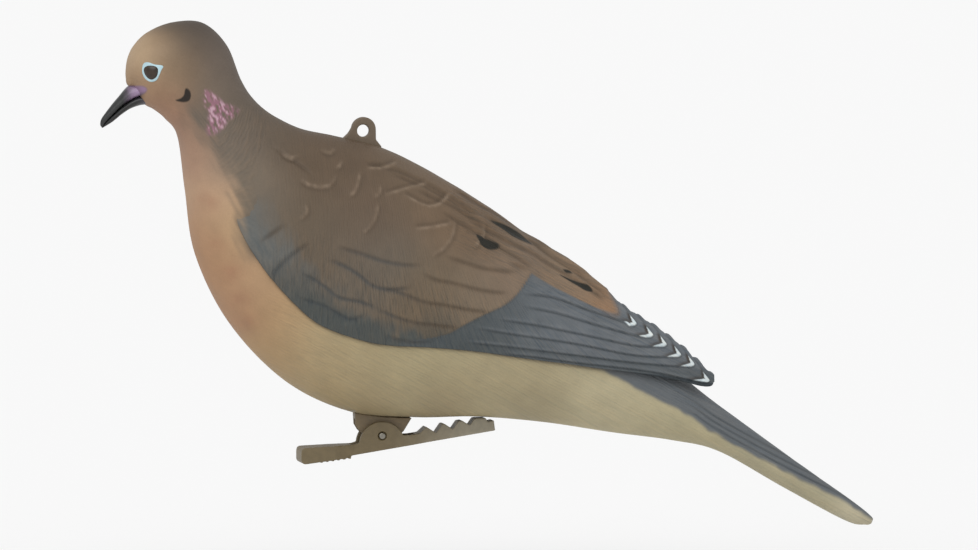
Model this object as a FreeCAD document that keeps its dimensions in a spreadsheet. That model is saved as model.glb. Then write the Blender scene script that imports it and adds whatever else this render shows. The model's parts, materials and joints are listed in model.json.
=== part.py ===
"""Clip-on dove decoy: a hollow bird in two halves, a hanging tab and a sprung belly clip.

The bird faces -X and stands up along +Z; its left side is at -Y.  The origin is the grip point of
the clip, where a twig or wire lies between the toothed jaw and the belly.  Sizes are in millimetres.
"""
import FreeCAD, Part
import math
import os
import Sketcher
from FreeCAD import Placement, Rotation, Vector

doc = FreeCAD.newDocument("DoveDecoy")
sheet = doc.addObject("Spreadsheet::Sheet", "Sizes")

# Ring sections of the bird, tail first: the ring's highest point (x, z), its lowest point (x, z)
# and its half width.  The rings fan round from the tail, through the body, to the face.
BODY_RINGS = {
    "tail_tip": (154.8, -32.7, 153, -35.9, 2.6),
    "tail_end": (149, -28, 145.6, -34.3, 5),
    "tail_mid": (129, -14.1, 123.6, -22.6, 7.2),
    "tail_root": (107.7, 1.1, 100.6, -9.9, 9.5),
    "rump_end": (93.5, 11.6, 84, -5.9, 12.5),
    "rump": (72, 29.5, 62, -3, 18),
    "vent": (50, 49, 38, 0.6, 24.5),
    "flank": (26, 70.3, 14, 2.6, 30.5),
    "back": (0, 87, -8, 2.4, 33.5),
    "saddle": (-20, 97, -31, 4.6, 34),
    "shoulder": (-37, 101.2, -54, 15.2, 32.5),
    "mantle": (-50, 104, -73.9, 35.6, 28.5),
    "breast": (-60, 109.3, -86, 59.5, 23),
    "neck_low": (-65.4, 114.8, -89.8, 82, 18),
    "neck": (-69.5, 121.5, -92.6, 101, 14.8),
    "nape": (-74.7, 133.3, -97, 107.3, 14.8),
    "crown": (-84, 141.1, -101, 110.6, 15),
    "brow": (-94.5, 141.3, -103.6, 111.9, 14.5),
    "forehead": (-103, 137.5, -105.2, 113.3, 13),
    "face": (-108, 133.4, -106.6, 115.8, 10.5),
    "muzzle": (-110.3, 129, -108.2, 118.2, 7.3),
    "face_end": (-110.9, 124.8, -109.8, 119.4, 4),
}
HOLLOW_FROM = "tail_root"
HOLLOW_TO = "forehead"

BEAK_RINGS = {
    "beak_root": (-103.5, 120, -103.4, 112.3, 5),
    "beak_base": (-110.3, 118.8, -109.2, 111, 4.3),
    "beak_middle": (-115.6, 112.7, -114.1, 107.6, 2.6),
    "beak_tip": (-119.7, 105.4, -118.7, 104.3, 0.8),
}

# Folded wing blades that stand proud of the rump: the ring's centre (x, y, z), its half height
# across the blade and its half thickness.
WING_RINGS = {
    "wing_root": (34, 15, 45.2, 18, 5),
    "wing_fold": (47, 16, 38.5, 15.2, 4.5),
    "wing_span": (62, 14.5, 31, 11.5, 4),
    "wing_end": (80, 11.5, 23.6, 7, 3),
    "wing_point": (92, 9, 18.2, 3.7, 2),
    "wing_tip": (96.6, 7.8, 16, 1.2, 1),
}
WING_SLOPE_DEG = 21
WING_LEAN_DEG = 12

SIZES = {
    # bird
    "wall": 1.8,
    # long enough to reach past the bird in any direction
    "beyond": 200,
    "moulding_half_width": 60,
    "boss_front_x": -35,
    "boss_rear_x": -7,
    "boss_half_width": 9,
    "boss_top_z": 9,
    "boss_low_z": -3,
    "post_radius": 3.5,
    "peg_radius": 1.5,
    "peg_length": 3,
    "peg_clearance": 0.1,
    # hanging tab
    "tab_thickness": 3,
    "eye_x": -27.1,
    "eye_z": 103.3,
    "eye_radius": 2.15,
    "tab_ring_x": -26.9,
    "tab_ring_z": 103.8,
    "tab_ring_radius": 4.3,
    "tab_neck_x": -31,
    "tab_neck_z": 104.6,
    "tab_front_x": -35.6,
    "tab_front_z": 99.4,
    "tab_shoulder_x": -32.4,
    "tab_shoulder_z": 102.3,
    "tab_back_x": -22.6,
    "tab_back_z": 103.8,
    "tab_rear_x": -20.4,
    "tab_rear_z": 97.6,
    "tongue_front_x": -33.5,
    "tongue_rear_x": -21.5,
    "tongue_low_z": 88,
    "tongue_sink": 1,
    "tab_heel_x": -22.5,
    "tab_heel_z": 100.2,
    # clip pivot and pin
    "pivot_x": -20.1,
    "pivot_z": -3.9,
    "pin_radius": 1.2,
    "pin_length": 11.5,
    "pin_dome": 0.5,
    "pin_clearance": 0.05,
    # fixed bracket
    "cheek_half_width": 3.3,
    "cheek_radius": 4.2,
    "cheek_front_x": -29.3,
    "cheek_front_z": 0,
    "cheek_front_low_x": -28.1,
    "cheek_front_low_z": -2,
    "cheek_rear_low_x": -12.2,
    "cheek_rear_low_z": -2.3,
    "cheek_chin_x": 3,
    "cheek_chin_z": 2.9,
    "seat_front_x": -29.6,
    "seat_front_z": 4.2,
    "seat_ahead_x": -25,
    "seat_ahead_z": 3.38,
    "seat_middle_x": -20,
    "seat_middle_z": 2.8,
    "seat_behind_x": -14,
    "seat_behind_z": 2.43,
    "seat_rear_x": -9.4,
    "seat_rear_z": 2.36,
    "fork_half_gap": 1.9,
    "fork_roof_front_z": 2.05,
    "fork_roof_middle_z": -0.4,
    "fork_roof_rear_z": 0.8,
    "fork_reach": 8,
    "fork_overrun": 2,
    "tongue_half_width": 1.6,
    "bracket_tongue_front_x": -27,
    "bracket_tongue_rear_x": -13,
    "foot_thickness": 1.8,
    "foot_half_width": 7.5,
    "foot_margin": 1.5,
    # screws of the bracket's foot
    "screw_inset_x": 5,
    "screw_y": 5,
    "screw_radius": 1.2,
    "screw_head_radius": 2.2,
    "screw_head_height": 1.5,
    "screw_length": 6,
    "foot_hole_length": 60,
    # moving jaw
    "lever_width": 11,
    "ear_half_gap": 3.6,
    "ear_radius": 8.1,
    "ear_drop": 3.1,
    "fork_room_radius": 5,
    "sweep_rear_drop": 1.6,
    "sweep_front_drop": 3.2,
    "sweep_reach": 12,
    "sweep_rise": 9,
    "pin_recess_radius": 1.6,
    "pin_recess_depth": 0.6,
    "thumb_width": 15,
    "thumb_front_x": -49,
    "thumb_front_low_z": -14,
    "thumb_front_top_z": -8.1,
    "thumb_rear_x": -30,
    "thumb_rear_top_z": -7,
    "thumb_rear_low_x": -32.5,
    "thumb_rear_low_z": -11.7,
    "arm_front_low_x": -32.4,
    "arm_front_low_z": -11.1,
    "thumb_side_x": -37,
    "thumb_rounding": 1.5,
    "jaw_width": 9,
    "jaw_front_x": -10,
    "jaw_front_z": -3.6,
    "jaw_step_x": -6.6,
    "jaw_step_z": -3,
    "jaw_rear_x": 20.1,
    "jaw_rear_low_z": -2.1,
    "jaw_flat_front_x": 13.6,
    "jaw_flat_rear_x": 16.8,
    "jaw_top_z": 2.2,
    "jaw_notch_x": 17.4,
    "jaw_notch_z": 0.9,
    "jaw_hook_x": 19.6,
    "jaw_hook_z": 1.5,
    "jaw_side_x": -3.6,
    "tooth_first_x": -4.3,
    "tooth_first_z": -0.8,
    "tooth_pitch_x": 5.95,
    "tooth_pitch_z": 1.35,
    "tooth_valley_x": 3.5,
    "tooth_valley_drop": 2.2,
    "tooth_headroom": 3,
    "core_half_width": 3.2,
    "core_wall": 1.5,
    "core_front_x": -9,
    "core_front_z": -5.8,
    "core_rear_z": -0.4,
    "rib_width": 0.9,
    "rib_height": 0.35,
    "rib_depth": 2,
    "rib_pitch": 2,
    "rib_first_x": -42,
    # torsion spring
    "wire_radius": 0.4,
    "coil_radius": 1.95,
    "coil_pitch": 0.84,
    "coil_whole_turns": 3,
    "leg_spread_deg": 120,
    "fixed_leg_rise_deg": 18,
    "fixed_leg_length": 6.6,
    "moving_leg_length": 4.3,
    "leg_thinning": 0.96,
    "leg_sunk": 0.1,
    # clearance for cuts that run out of the piece
    "overrun": 1,
}
TOOTH_GAPS = 3
GRIP_RIBS = 6
# Places of the posts that key the two halves together, as (x, z).
POSTS = ((-84, 122), (84, 6))


def fill_sheet():
    """Put every driving dimension in the sheet under its alias."""
    cells = dict(SIZES)
    for rings in (BODY_RINGS, BEAK_RINGS):
        for ring, numbers in rings.items():
            fields = ("top_x", "top_z", "low_x", "low_z", "half_width")
            cells.update({f"{ring}_{field}": number for field, number in zip(fields, numbers)})
    for ring, numbers in WING_RINGS.items():
        fields = ("x", "y", "z", "half_height", "half_thickness")
        cells.update({f"{ring}_{field}": number for field, number in zip(fields, numbers)})
    for row, (alias, number) in enumerate(cells.items(), start=1):
        sheet.set(f"A{row}", alias)
        sheet.set(f"B{row}", str(number))
        sheet.setAlias(f"B{row}", alias)
    doc.recompute()


def size(alias):
    return float(sheet.get(alias))


def bind(item, **expressions):
    """Bind an object's properties to expressions on the sheet's cells."""
    for prop, expression in expressions.items():
        item.setExpression(prop, expression)


def place(item, x, y, z, rotation=Rotation()):
    item.Placement = Placement(Vector(x, y, z), rotation)


def shape_feature(name, shape):
    feature = doc.addObject("Part::Feature", name)
    feature.Shape = shape
    return feature


def boolean(kind, name, base, tool):
    result = doc.addObject(f"Part::{kind}", name)
    result.Base = base
    result.Tool = tool
    return result


# ---------------------------------------------------------------- bird moulding

RING_POINTS = 12


def ring_wire(centre, up, side):
    """A smooth closed ring about a centre, with half axes up and side."""
    turns = [math.pi / 2 + 2 * math.pi * step / RING_POINTS for step in range(RING_POINTS)]
    curve = Part.BSplineCurve()
    curve.interpolate([centre + up * math.cos(turn) + side * math.sin(turn) for turn in turns],
                      PeriodicFlag=True)
    return Part.Wire([curve.toShape()])


def body_ring(ring, inset=0.0):
    top = Vector(size(f"{ring}_top_x"), 0, size(f"{ring}_top_z"))
    low = Vector(size(f"{ring}_low_x"), 0, size(f"{ring}_low_z"))
    half_height = (top - low).Length / 2 - inset
    up = (top - low).normalize() * half_height
    side = Vector(0, size(f"{ring}_half_width") - inset, 0)
    return ring_wire((top + low) * 0.5, up, side)


def wing_ring(ring, sign):
    slope = math.radians(WING_SLOPE_DEG)
    centre = Vector(size(f"{ring}_x"), sign * size(f"{ring}_y"), size(f"{ring}_z"))
    lean = -sign * math.tan(math.radians(WING_LEAN_DEG))
    up = Vector(math.sin(slope), lean, math.cos(slope)) * size(f"{ring}_half_height")
    side = Vector(0, sign * size(f"{ring}_half_thickness"), 0)
    return ring_wire(centre, up, side)


def left_space():
    """A box that holds everything on the left of the seam."""
    box = doc.addObject("Part::Box", "left_space")
    bind(box, Length="2 * Sizes.beyond", Width="Sizes.moulding_half_width", Height="2 * Sizes.beyond")
    place(box, -size("beyond"), -size("moulding_half_width"), -size("beyond"))
    return box


def outer_bird():
    core = shape_feature("core", Part.makeLoft([body_ring(r) for r in BODY_RINGS], True))
    beak = shape_feature("beak", Part.makeLoft([body_ring(r) for r in BEAK_RINGS], True))
    parts = [core, beak]
    for side, sign in (("left", -1), ("right", 1)):
        rings = [wing_ring(ring, sign) for ring in WING_RINGS]
        parts.append(shape_feature(f"{side}_wing_blade", Part.makeLoft(rings, True)))
    bird = doc.addObject("Part::MultiFuse", "bird_outside")
    bird.Shapes = parts
    return bird


def cavity():
    names = list(BODY_RINGS)
    hollow = names[names.index(HOLLOW_FROM):names.index(HOLLOW_TO) + 1]
    return shape_feature("bird_inside",
                         Part.makeLoft([body_ring(ring, size("wall")) for ring in hollow], True))


def boss():
    """The solid floor inside the belly that the bracket's foot stands on."""
    box = doc.addObject("Part::Box", "boss")
    bind(box, Length="Sizes.boss_rear_x - Sizes.boss_front_x", Width="2 * Sizes.boss_half_width",
         Height="Sizes.boss_top_z - Sizes.boss_low_z")
    place(box, size("boss_front_x"), -size("boss_half_width"), size("boss_low_z"))
    return box


def seam_post(number, x, z):
    post = doc.addObject("Part::Cylinder", f"post_{number}")
    bind(post, Radius="Sizes.post_radius", Height="2 * Sizes.moulding_half_width")
    place(post, x, size("moulding_half_width"), z, Rotation(Vector(1, 0, 0), 90))
    return post


def seam_peg(name, x, z, growth):
    peg = doc.addObject("Part::Cylinder", name)
    bind(peg, Radius=f"Sizes.peg_radius + {growth}", Height=f"2 * Sizes.peg_length + 2 * {growth}")
    place(peg, x, size("peg_length") + size("peg_clearance"), z, Rotation(Vector(1, 0, 0), 90))
    return peg


def tongue_slot():
    """The slot in the belly and boss that the bracket's tongue passes through."""
    box = doc.addObject("Part::Box", "bracket_slot")
    bind(box, Length="Sizes.bracket_tongue_rear_x - Sizes.bracket_tongue_front_x",
         Width="2 * Sizes.tongue_half_width",
         Height="Sizes.boss_top_z + Sizes.overrun - Sizes.boss_low_z")
    place(box, size("bracket_tongue_front_x"), -size("tongue_half_width"), size("boss_low_z"))
    return box


def screw_places():
    return (Vector(size("boss_front_x") + size("screw_inset_x"), -size("screw_y"), 0),
            Vector(size("boss_rear_x") - size("screw_inset_x"), size("screw_y"), 0))


def screw_tip_z():
    return size("boss_top_z") + size("foot_thickness") - size("screw_length")


def screw_shanks(prefix):
    shanks = []
    for number, spot in enumerate(screw_places()):
        shank = doc.addObject("Part::Cylinder", f"{prefix}_{number}")
        bind(shank, Radius="Sizes.screw_radius", Height="Sizes.screw_length")
        place(shank, spot.x, spot.y, screw_tip_z())
        shanks.append(shank)
    return shanks


def bird_shells(tab):
    """Hollow the bird round what is moulded inside it, part it at the seam and key the halves."""
    fittings = doc.addObject("Part::MultiFuse", "fittings")
    fittings.Shapes = [boss()] + [seam_post(n, x, z) for n, (x, z) in enumerate(POSTS)]
    hollow = boolean("Cut", "hollow", cavity(), fittings)
    walls = boolean("Cut", "walls", outer_bird(), hollow)
    slotted = boolean("Cut", "slotted_bird", walls, tongue_slot())
    slotted = boolean("Cut", "seated_bird", slotted, tab)
    left_half = boolean("Common", "left_half", slotted, left_space())
    right_half = doc.addObject("Part::Mirroring", "right_half")
    right_half.Source = left_half
    right_half.Normal = Vector(0, 1, 0)
    left_hole, right_hole = screw_shanks("pilot_hole")
    left_keyed = boolean("Cut", "left_drilled", left_half, left_hole)
    right_keyed = boolean("Cut", "right_drilled", right_half, right_hole)
    for number, (x, z) in enumerate(POSTS):
        peg = seam_peg(f"peg_{number}", x, z, "0")
        socket = seam_peg(f"socket_{number}", x, z, "Sizes.peg_clearance")
        left_keyed = boolean("Fuse", f"left_pegged_{number}", left_keyed, peg)
        right_keyed = boolean("Cut", f"right_socketed_{number}", right_keyed, socket)
    left_keyed.Label = "left_shell"
    right_keyed.Label = "right_shell"
    return [left_keyed, right_keyed]


# ---------------------------------------------------------------- sketch helpers

def new_body(label):
    body = doc.addObject("PartDesign::Body", label)
    body.Label = label
    return body


def new_sketch(body, name, role):
    """A sketch on one of the body's own origin planes."""
    sketch = body.newObject("Sketcher::SketchObject", name)
    plane = next(item for item in body.Origin.OriginFeatures if item.Role == role)
    sketch.AttachmentSupport = [(plane, "")]
    sketch.MapMode = "FlatFace"
    return sketch


def pin_down(sketch, geometry, point, across, up):
    """Tie a point of the sketch to two expressions, its distances from the origin."""
    for kind, expression in (("DistanceX", across), ("DistanceY", up)):
        number = sketch.addConstraint(
            Sketcher.Constraint(kind, -1, 1, geometry, point, float(sheet.evalExpression(expression))))
        sketch.setExpression(f"Constraints[{number}]", expression)


def add_polygon(sketch, corners):
    """Add a closed outline whose corners are pairs of expressions."""
    points = [Vector(*(float(sheet.evalExpression(e)) for e in corner), 0) for corner in corners]
    first = len(sketch.Geometry)
    count = len(points)
    for step in range(count):
        sketch.addGeometry(Part.LineSegment(points[step], points[(step + 1) % count]), False)
    for step in range(count):
        following = first + (step + 1) % count
        sketch.addConstraint(Sketcher.Constraint("Coincident", first + step, 2, following, 1))
    for step, corner in enumerate(corners):
        pin_down(sketch, first + step, 1, *corner)


def add_circle(sketch, across, up, radius):
    centre = Vector(float(sheet.evalExpression(across)), float(sheet.evalExpression(up)), 0)
    amount = float(sheet.evalExpression(radius))
    circle = sketch.addGeometry(Part.Circle(centre, Vector(0, 0, 1), amount), False)
    pin_down(sketch, circle, 3, across, up)
    number = sketch.addConstraint(Sketcher.Constraint("Radius", circle, amount))
    sketch.setExpression(f"Constraints[{number}]", radius)


def rectangle(low_x, low_y, high_x, high_y):
    return [(low_x, low_y), (high_x, low_y), (high_x, high_y), (low_x, high_y)]


def swing(body, kind, name, sketch, length):
    """Pad or pocket a sketch equally to both sides of its plane."""
    feature = body.newObject(f"PartDesign::{kind}", name)
    feature.Profile = sketch
    feature.SideType = "Symmetric"
    feature.setExpression("Length", length)
    doc.recompute()
    return feature


def rounded(body, name, base, radius, chooses):
    """Fillet the edges whose middle point the test chooses."""
    fillet = body.newObject("PartDesign::Fillet", name)
    names = [f"Edge{number}" for number, edge in enumerate(base.Shape.Edges, start=1)
             if chooses(edge.valueAt((edge.FirstParameter + edge.LastParameter) / 2), edge)]
    fillet.Base = (base, names)
    fillet.setExpression("Radius", radius)
    doc.recompute()
    return fillet


# ---------------------------------------------------------------- hanging tab

def hang_tab():
    body = new_body("hang_tab")
    plate = new_sketch(body, "tab_outline", "XZ_Plane")
    add_polygon(plate, [
        ("Sizes.tongue_front_x", "Sizes.tongue_low_z"),
        ("Sizes.tongue_front_x", "Sizes.tab_front_z - Sizes.tongue_sink"),
        ("Sizes.tab_front_x", "Sizes.tab_front_z"),
        ("Sizes.tab_shoulder_x", "Sizes.tab_shoulder_z"),
        ("Sizes.tab_neck_x", "Sizes.tab_neck_z"),
        ("Sizes.tab_ring_x", "Sizes.tab_ring_z"),
        ("Sizes.tab_back_x", "Sizes.tab_back_z"),
        ("Sizes.tab_heel_x", "Sizes.tab_heel_z"),
        ("Sizes.tab_rear_x", "Sizes.tab_rear_z"),
        ("Sizes.tongue_rear_x", "Sizes.tab_rear_z - Sizes.tongue_sink"),
        ("Sizes.tongue_rear_x", "Sizes.tongue_low_z"),
    ])
    swing(body, "Pad", "tab_plate", plate, "Sizes.tab_thickness")
    ring = new_sketch(body, "ring_outline", "XZ_Plane")
    add_circle(ring, "Sizes.tab_ring_x", "Sizes.tab_ring_z", "Sizes.tab_ring_radius")
    swing(body, "Pad", "tab_ring", ring, "Sizes.tab_thickness")
    eye = new_sketch(body, "eye_outline", "XZ_Plane")
    add_circle(eye, "Sizes.eye_x", "Sizes.eye_z", "Sizes.eye_radius")
    swing(body, "Pocket", "tab_eye", eye, "Sizes.tab_thickness + 2 * Sizes.overrun")
    return body


# ---------------------------------------------------------------- fixed bracket

def clip_bracket():
    body = new_body("clip_bracket")
    cheeks = new_sketch(body, "cheek_outline", "XZ_Plane")
    add_polygon(cheeks, [
        ("Sizes.seat_front_x", "Sizes.seat_front_z"),
        ("Sizes.cheek_front_x", "Sizes.cheek_front_z"),
        ("Sizes.cheek_front_low_x", "Sizes.cheek_front_low_z"),
        ("Sizes.pivot_x - Sizes.cheek_chin_x", "Sizes.pivot_z - Sizes.cheek_chin_z"),
        ("Sizes.pivot_x + Sizes.cheek_chin_x", "Sizes.pivot_z - Sizes.cheek_chin_z"),
        ("Sizes.cheek_rear_low_x", "Sizes.cheek_rear_low_z"),
        ("Sizes.seat_rear_x", "Sizes.seat_rear_z"),
        ("Sizes.seat_behind_x", "Sizes.seat_behind_z"),
        ("Sizes.seat_middle_x", "Sizes.seat_middle_z"),
        ("Sizes.seat_ahead_x", "Sizes.seat_ahead_z"),
    ])
    swing(body, "Pad", "cheek_block", cheeks, "2 * Sizes.cheek_half_width")
    round_end = new_sketch(body, "cheek_round", "XZ_Plane")
    add_circle(round_end, "Sizes.pivot_x", "Sizes.pivot_z", "Sizes.cheek_radius")
    swing(body, "Pad", "cheek_boss", round_end, "2 * Sizes.cheek_half_width")
    gap = new_sketch(body, "fork_outline", "XZ_Plane")
    add_polygon(gap, [
        ("Sizes.seat_front_x - Sizes.fork_overrun", "Sizes.pivot_z - Sizes.fork_reach"),
        ("Sizes.seat_rear_x + Sizes.fork_overrun", "Sizes.pivot_z - Sizes.fork_reach"),
        ("Sizes.seat_rear_x + Sizes.fork_overrun", "Sizes.fork_roof_rear_z"),
        ("Sizes.seat_ahead_x + Sizes.fork_overrun", "Sizes.fork_roof_middle_z"),
        ("Sizes.seat_front_x", "Sizes.fork_roof_front_z"),
        ("Sizes.seat_front_x - Sizes.fork_overrun", "Sizes.fork_roof_front_z"),
    ])
    swing(body, "Pocket", "fork_gap", gap, "2 * Sizes.fork_half_gap")
    tongue = new_sketch(body, "tongue_outline", "XZ_Plane")
    add_polygon(tongue, rectangle("Sizes.bracket_tongue_front_x", "Sizes.seat_rear_z - Sizes.overrun",
                                  "Sizes.bracket_tongue_rear_x", "Sizes.boss_top_z"))
    swing(body, "Pad", "tongue", tongue, "2 * Sizes.tongue_half_width")
    foot = new_sketch(body, "foot_outline", "XZ_Plane")
    add_polygon(foot, rectangle("Sizes.boss_front_x + Sizes.foot_margin", "Sizes.boss_top_z",
                                "Sizes.boss_rear_x - Sizes.foot_margin",
                                "Sizes.boss_top_z + Sizes.foot_thickness"))
    swing(body, "Pad", "foot", foot, "2 * Sizes.foot_half_width")
    bore = new_sketch(body, "bore_outline", "XZ_Plane")
    add_circle(bore, "Sizes.pivot_x", "Sizes.pivot_z", "Sizes.pin_radius + Sizes.pin_clearance")
    swing(body, "Pocket", "pin_bore", bore, "Sizes.lever_width")
    holes = new_sketch(body, "foot_holes", "XY_Plane")
    for spot, across in (("Sizes.boss_front_x + Sizes.screw_inset_x", "-Sizes.screw_y"),
                         ("Sizes.boss_rear_x - Sizes.screw_inset_x", "Sizes.screw_y")):
        add_circle(holes, spot, across, "Sizes.screw_radius")
    swing(body, "Pocket", "screw_holes", holes, "Sizes.foot_hole_length")
    return body


def bracket_screws():
    """Two pan-headed screws, one into each half of the bird."""
    screws = []
    shanks = screw_shanks("shank")
    for number, shank in enumerate(shanks):
        head = doc.addObject("Part::Cylinder", f"head_{number}")
        bind(head, Radius="Sizes.screw_head_radius", Height="Sizes.screw_head_height")
        spot = screw_places()[number]
        place(head, spot.x, spot.y, size("boss_top_z") + size("foot_thickness"))
        screws.append(boolean("Fuse", f"screw_{number}", head, shank))
    pair = doc.addObject("Part::Compound", "bracket_screws")
    pair.Links = screws
    return pair


# ---------------------------------------------------------------- moving jaw

def lever_outline():
    """Side view of the lever: the thumb end, the arm and the toothed jaw."""
    return [
        ("Sizes.thumb_front_x", "Sizes.thumb_front_low_z"),
        ("Sizes.thumb_rear_low_x", "Sizes.thumb_rear_low_z"),
        ("Sizes.arm_front_low_x", "Sizes.arm_front_low_z"),
        ("Sizes.jaw_rear_x", "Sizes.jaw_rear_low_z"),
        ("Sizes.jaw_hook_x", "Sizes.jaw_hook_z"),
        ("Sizes.jaw_notch_x", "Sizes.jaw_notch_z"),
        ("Sizes.jaw_flat_rear_x", "Sizes.jaw_top_z"),
        ("Sizes.jaw_flat_front_x", "Sizes.jaw_top_z"),
        ("Sizes.tooth_first_x", "Sizes.tooth_first_z"),
        ("Sizes.jaw_step_x", "Sizes.jaw_step_z"),
        ("Sizes.jaw_front_x", "Sizes.jaw_front_z"),
        ("Sizes.pivot_x", "Sizes.pivot_z"),
        ("Sizes.thumb_rear_x", "Sizes.thumb_rear_top_z"),
        ("Sizes.thumb_front_x", "Sizes.thumb_front_top_z"),
    ]


def tooth_gap(number):
    """One saw gap: a long slope down from an apex, then a short flank up to the next."""
    apex_x = f"Sizes.tooth_first_x + {number} * Sizes.tooth_pitch_x"
    apex_z = f"Sizes.tooth_first_z + {number} * Sizes.tooth_pitch_z"
    next_x = f"Sizes.tooth_first_x + {number + 1} * Sizes.tooth_pitch_x"
    next_z = f"Sizes.tooth_first_z + {number + 1} * Sizes.tooth_pitch_z"
    return [
        (apex_x, apex_z),
        (f"{apex_x} + Sizes.tooth_valley_x", f"{apex_z} - Sizes.tooth_valley_drop"),
        (next_x, next_z),
        (f"{apex_x} + Sizes.tooth_pitch_x / 2", f"{next_z} + Sizes.tooth_headroom"),
    ]


def clip_lever():
    body = new_body("clip_lever")
    arm = new_sketch(body, "lever_outline", "XZ_Plane")
    add_polygon(arm, lever_outline())
    base = swing(body, "Pad", "lever_arm", arm, "Sizes.thumb_width")
    rounded(body, "thumb_nose", base, "Sizes.thumb_rounding",
            lambda middle, edge: abs(middle.x - size("thumb_front_x")) < 0.01 and abs(middle.y) < 0.01)
    sides = new_sketch(body, "side_outline", "XY_Plane")
    for sign in ("", "-"):
        outside = f"{sign}(Sizes.thumb_width / 2 + Sizes.overrun)"
        add_polygon(sides, [
            ("Sizes.thumb_side_x", outside),
            ("Sizes.thumb_side_x", f"{sign}(Sizes.thumb_width / 2)"),
            ("Sizes.thumb_rear_x", f"{sign}(Sizes.lever_width / 2)"),
            ("Sizes.jaw_front_x", f"{sign}(Sizes.lever_width / 2)"),
            ("Sizes.jaw_side_x", f"{sign}(Sizes.jaw_width / 2)"),
            ("Sizes.jaw_rear_x + Sizes.overrun", f"{sign}(Sizes.jaw_width / 2)"),
            ("Sizes.jaw_rear_x + Sizes.overrun", outside),
        ])
    swing(body, "Pocket", "waist", sides, "2 * Sizes.beyond")
    ears = new_sketch(body, "ear_outline", "XZ_Plane")
    add_circle(ears, "Sizes.pivot_x", "Sizes.pivot_z - Sizes.ear_drop", "Sizes.ear_radius")
    swing(body, "Pad", "ears", ears, "Sizes.lever_width")
    flush = new_sketch(body, "flush_outline", "XZ_Plane")
    add_polygon(flush, [
        ("Sizes.arm_front_low_x", "Sizes.arm_front_low_z"),
        ("Sizes.arm_front_low_x", "Sizes.pivot_z - Sizes.beyond"),
        ("Sizes.jaw_rear_x", "Sizes.pivot_z - Sizes.beyond"),
        ("Sizes.jaw_rear_x", "Sizes.jaw_rear_low_z"),
    ])
    swing(body, "Pocket", "flush_underside", flush, "Sizes.thumb_width + 2 * Sizes.overrun")
    room = new_sketch(body, "room_outline", "XZ_Plane")
    add_circle(room, "Sizes.pivot_x", "Sizes.pivot_z", "Sizes.fork_room_radius")
    swing(body, "Pocket", "fork_room", room, "2 * Sizes.ear_half_gap")
    swept = new_sketch(body, "swept_outline", "XZ_Plane")
    add_polygon(swept, [
        ("Sizes.pivot_x", "Sizes.pivot_z - Sizes.fork_room_radius"),
        ("Sizes.pivot_x + Sizes.fork_room_radius", "Sizes.pivot_z - Sizes.sweep_rear_drop"),
        ("Sizes.pivot_x + Sizes.sweep_reach", "Sizes.pivot_z - Sizes.sweep_rear_drop"),
        ("Sizes.pivot_x + Sizes.sweep_reach", "Sizes.pivot_z + Sizes.sweep_rise"),
        ("Sizes.pivot_x - Sizes.sweep_reach", "Sizes.pivot_z + Sizes.sweep_rise"),
        ("Sizes.pivot_x - Sizes.sweep_reach", "Sizes.pivot_z - Sizes.sweep_front_drop"),
    ])
    swing(body, "Pocket", "fork_sweep", swept, "2 * Sizes.ear_half_gap")
    gaps = new_sketch(body, "tooth_gaps", "XZ_Plane")
    for number in range(TOOTH_GAPS):
        add_polygon(gaps, tooth_gap(number))
    swing(body, "Pocket", "teeth", gaps, "Sizes.thumb_width + 2 * Sizes.overrun")
    core = new_sketch(body, "core_outline", "XZ_Plane")
    add_polygon(core, [
        ("Sizes.core_front_x", "Sizes.thumb_front_low_z"),
        ("Sizes.jaw_rear_x - Sizes.core_wall", "Sizes.thumb_front_low_z"),
        ("Sizes.jaw_rear_x - Sizes.core_wall", "Sizes.core_rear_z"),
        ("Sizes.core_front_x", "Sizes.core_front_z"),
    ])
    swing(body, "Pocket", "jaw_core", core, "2 * Sizes.core_half_width")
    ribs = new_sketch(body, "rib_outline", "XZ_Plane")
    for number in range(GRIP_RIBS):
        start = f"Sizes.rib_first_x + {number} * Sizes.rib_pitch"
        slope = "((Sizes.thumb_rear_low_z - Sizes.thumb_front_low_z)" \
                " / (Sizes.thumb_rear_low_x - Sizes.thumb_front_x))"
        low = f"Sizes.thumb_front_low_z - Sizes.rib_height + ({start} - Sizes.thumb_front_x) * {slope}"
        add_polygon(ribs, rectangle(start, low, f"{start} + Sizes.rib_width",
                                    f"{low} + Sizes.rib_depth"))
    swing(body, "Pad", "grip_ribs", ribs, "Sizes.lever_width")
    bore = new_sketch(body, "ear_bore", "XZ_Plane")
    add_circle(bore, "Sizes.pivot_x", "Sizes.pivot_z", "Sizes.pin_radius")
    swing(body, "Pocket", "pin_hole", bore, "Sizes.lever_width + 2 * Sizes.overrun")
    return body


def pin_recesses(lever):
    """Shallow counterbores round the pin's ends, cut into the outer faces of the ears."""
    tools = []
    for side, sign in (("left", -1), ("right", 1)):
        tool = doc.addObject("Part::Cylinder", f"{side}_recess")
        bind(tool, Radius="Sizes.pin_recess_radius", Height="Sizes.pin_recess_depth + Sizes.overrun")
        start = sign * (size("lever_width") / 2 - size("pin_recess_depth"))
        place(tool, size("pivot_x"), start, size("pivot_z"), Rotation(Vector(1, 0, 0), -90 * sign))
        tools.append(tool)
    pair = doc.addObject("Part::MultiFuse", "pin_recesses")
    pair.Shapes = tools
    lever.Label = "lever_before_recesses"
    finished = boolean("Cut", "recessed_lever", lever, pair)
    finished.Label = "clip_lever"
    return finished


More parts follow.
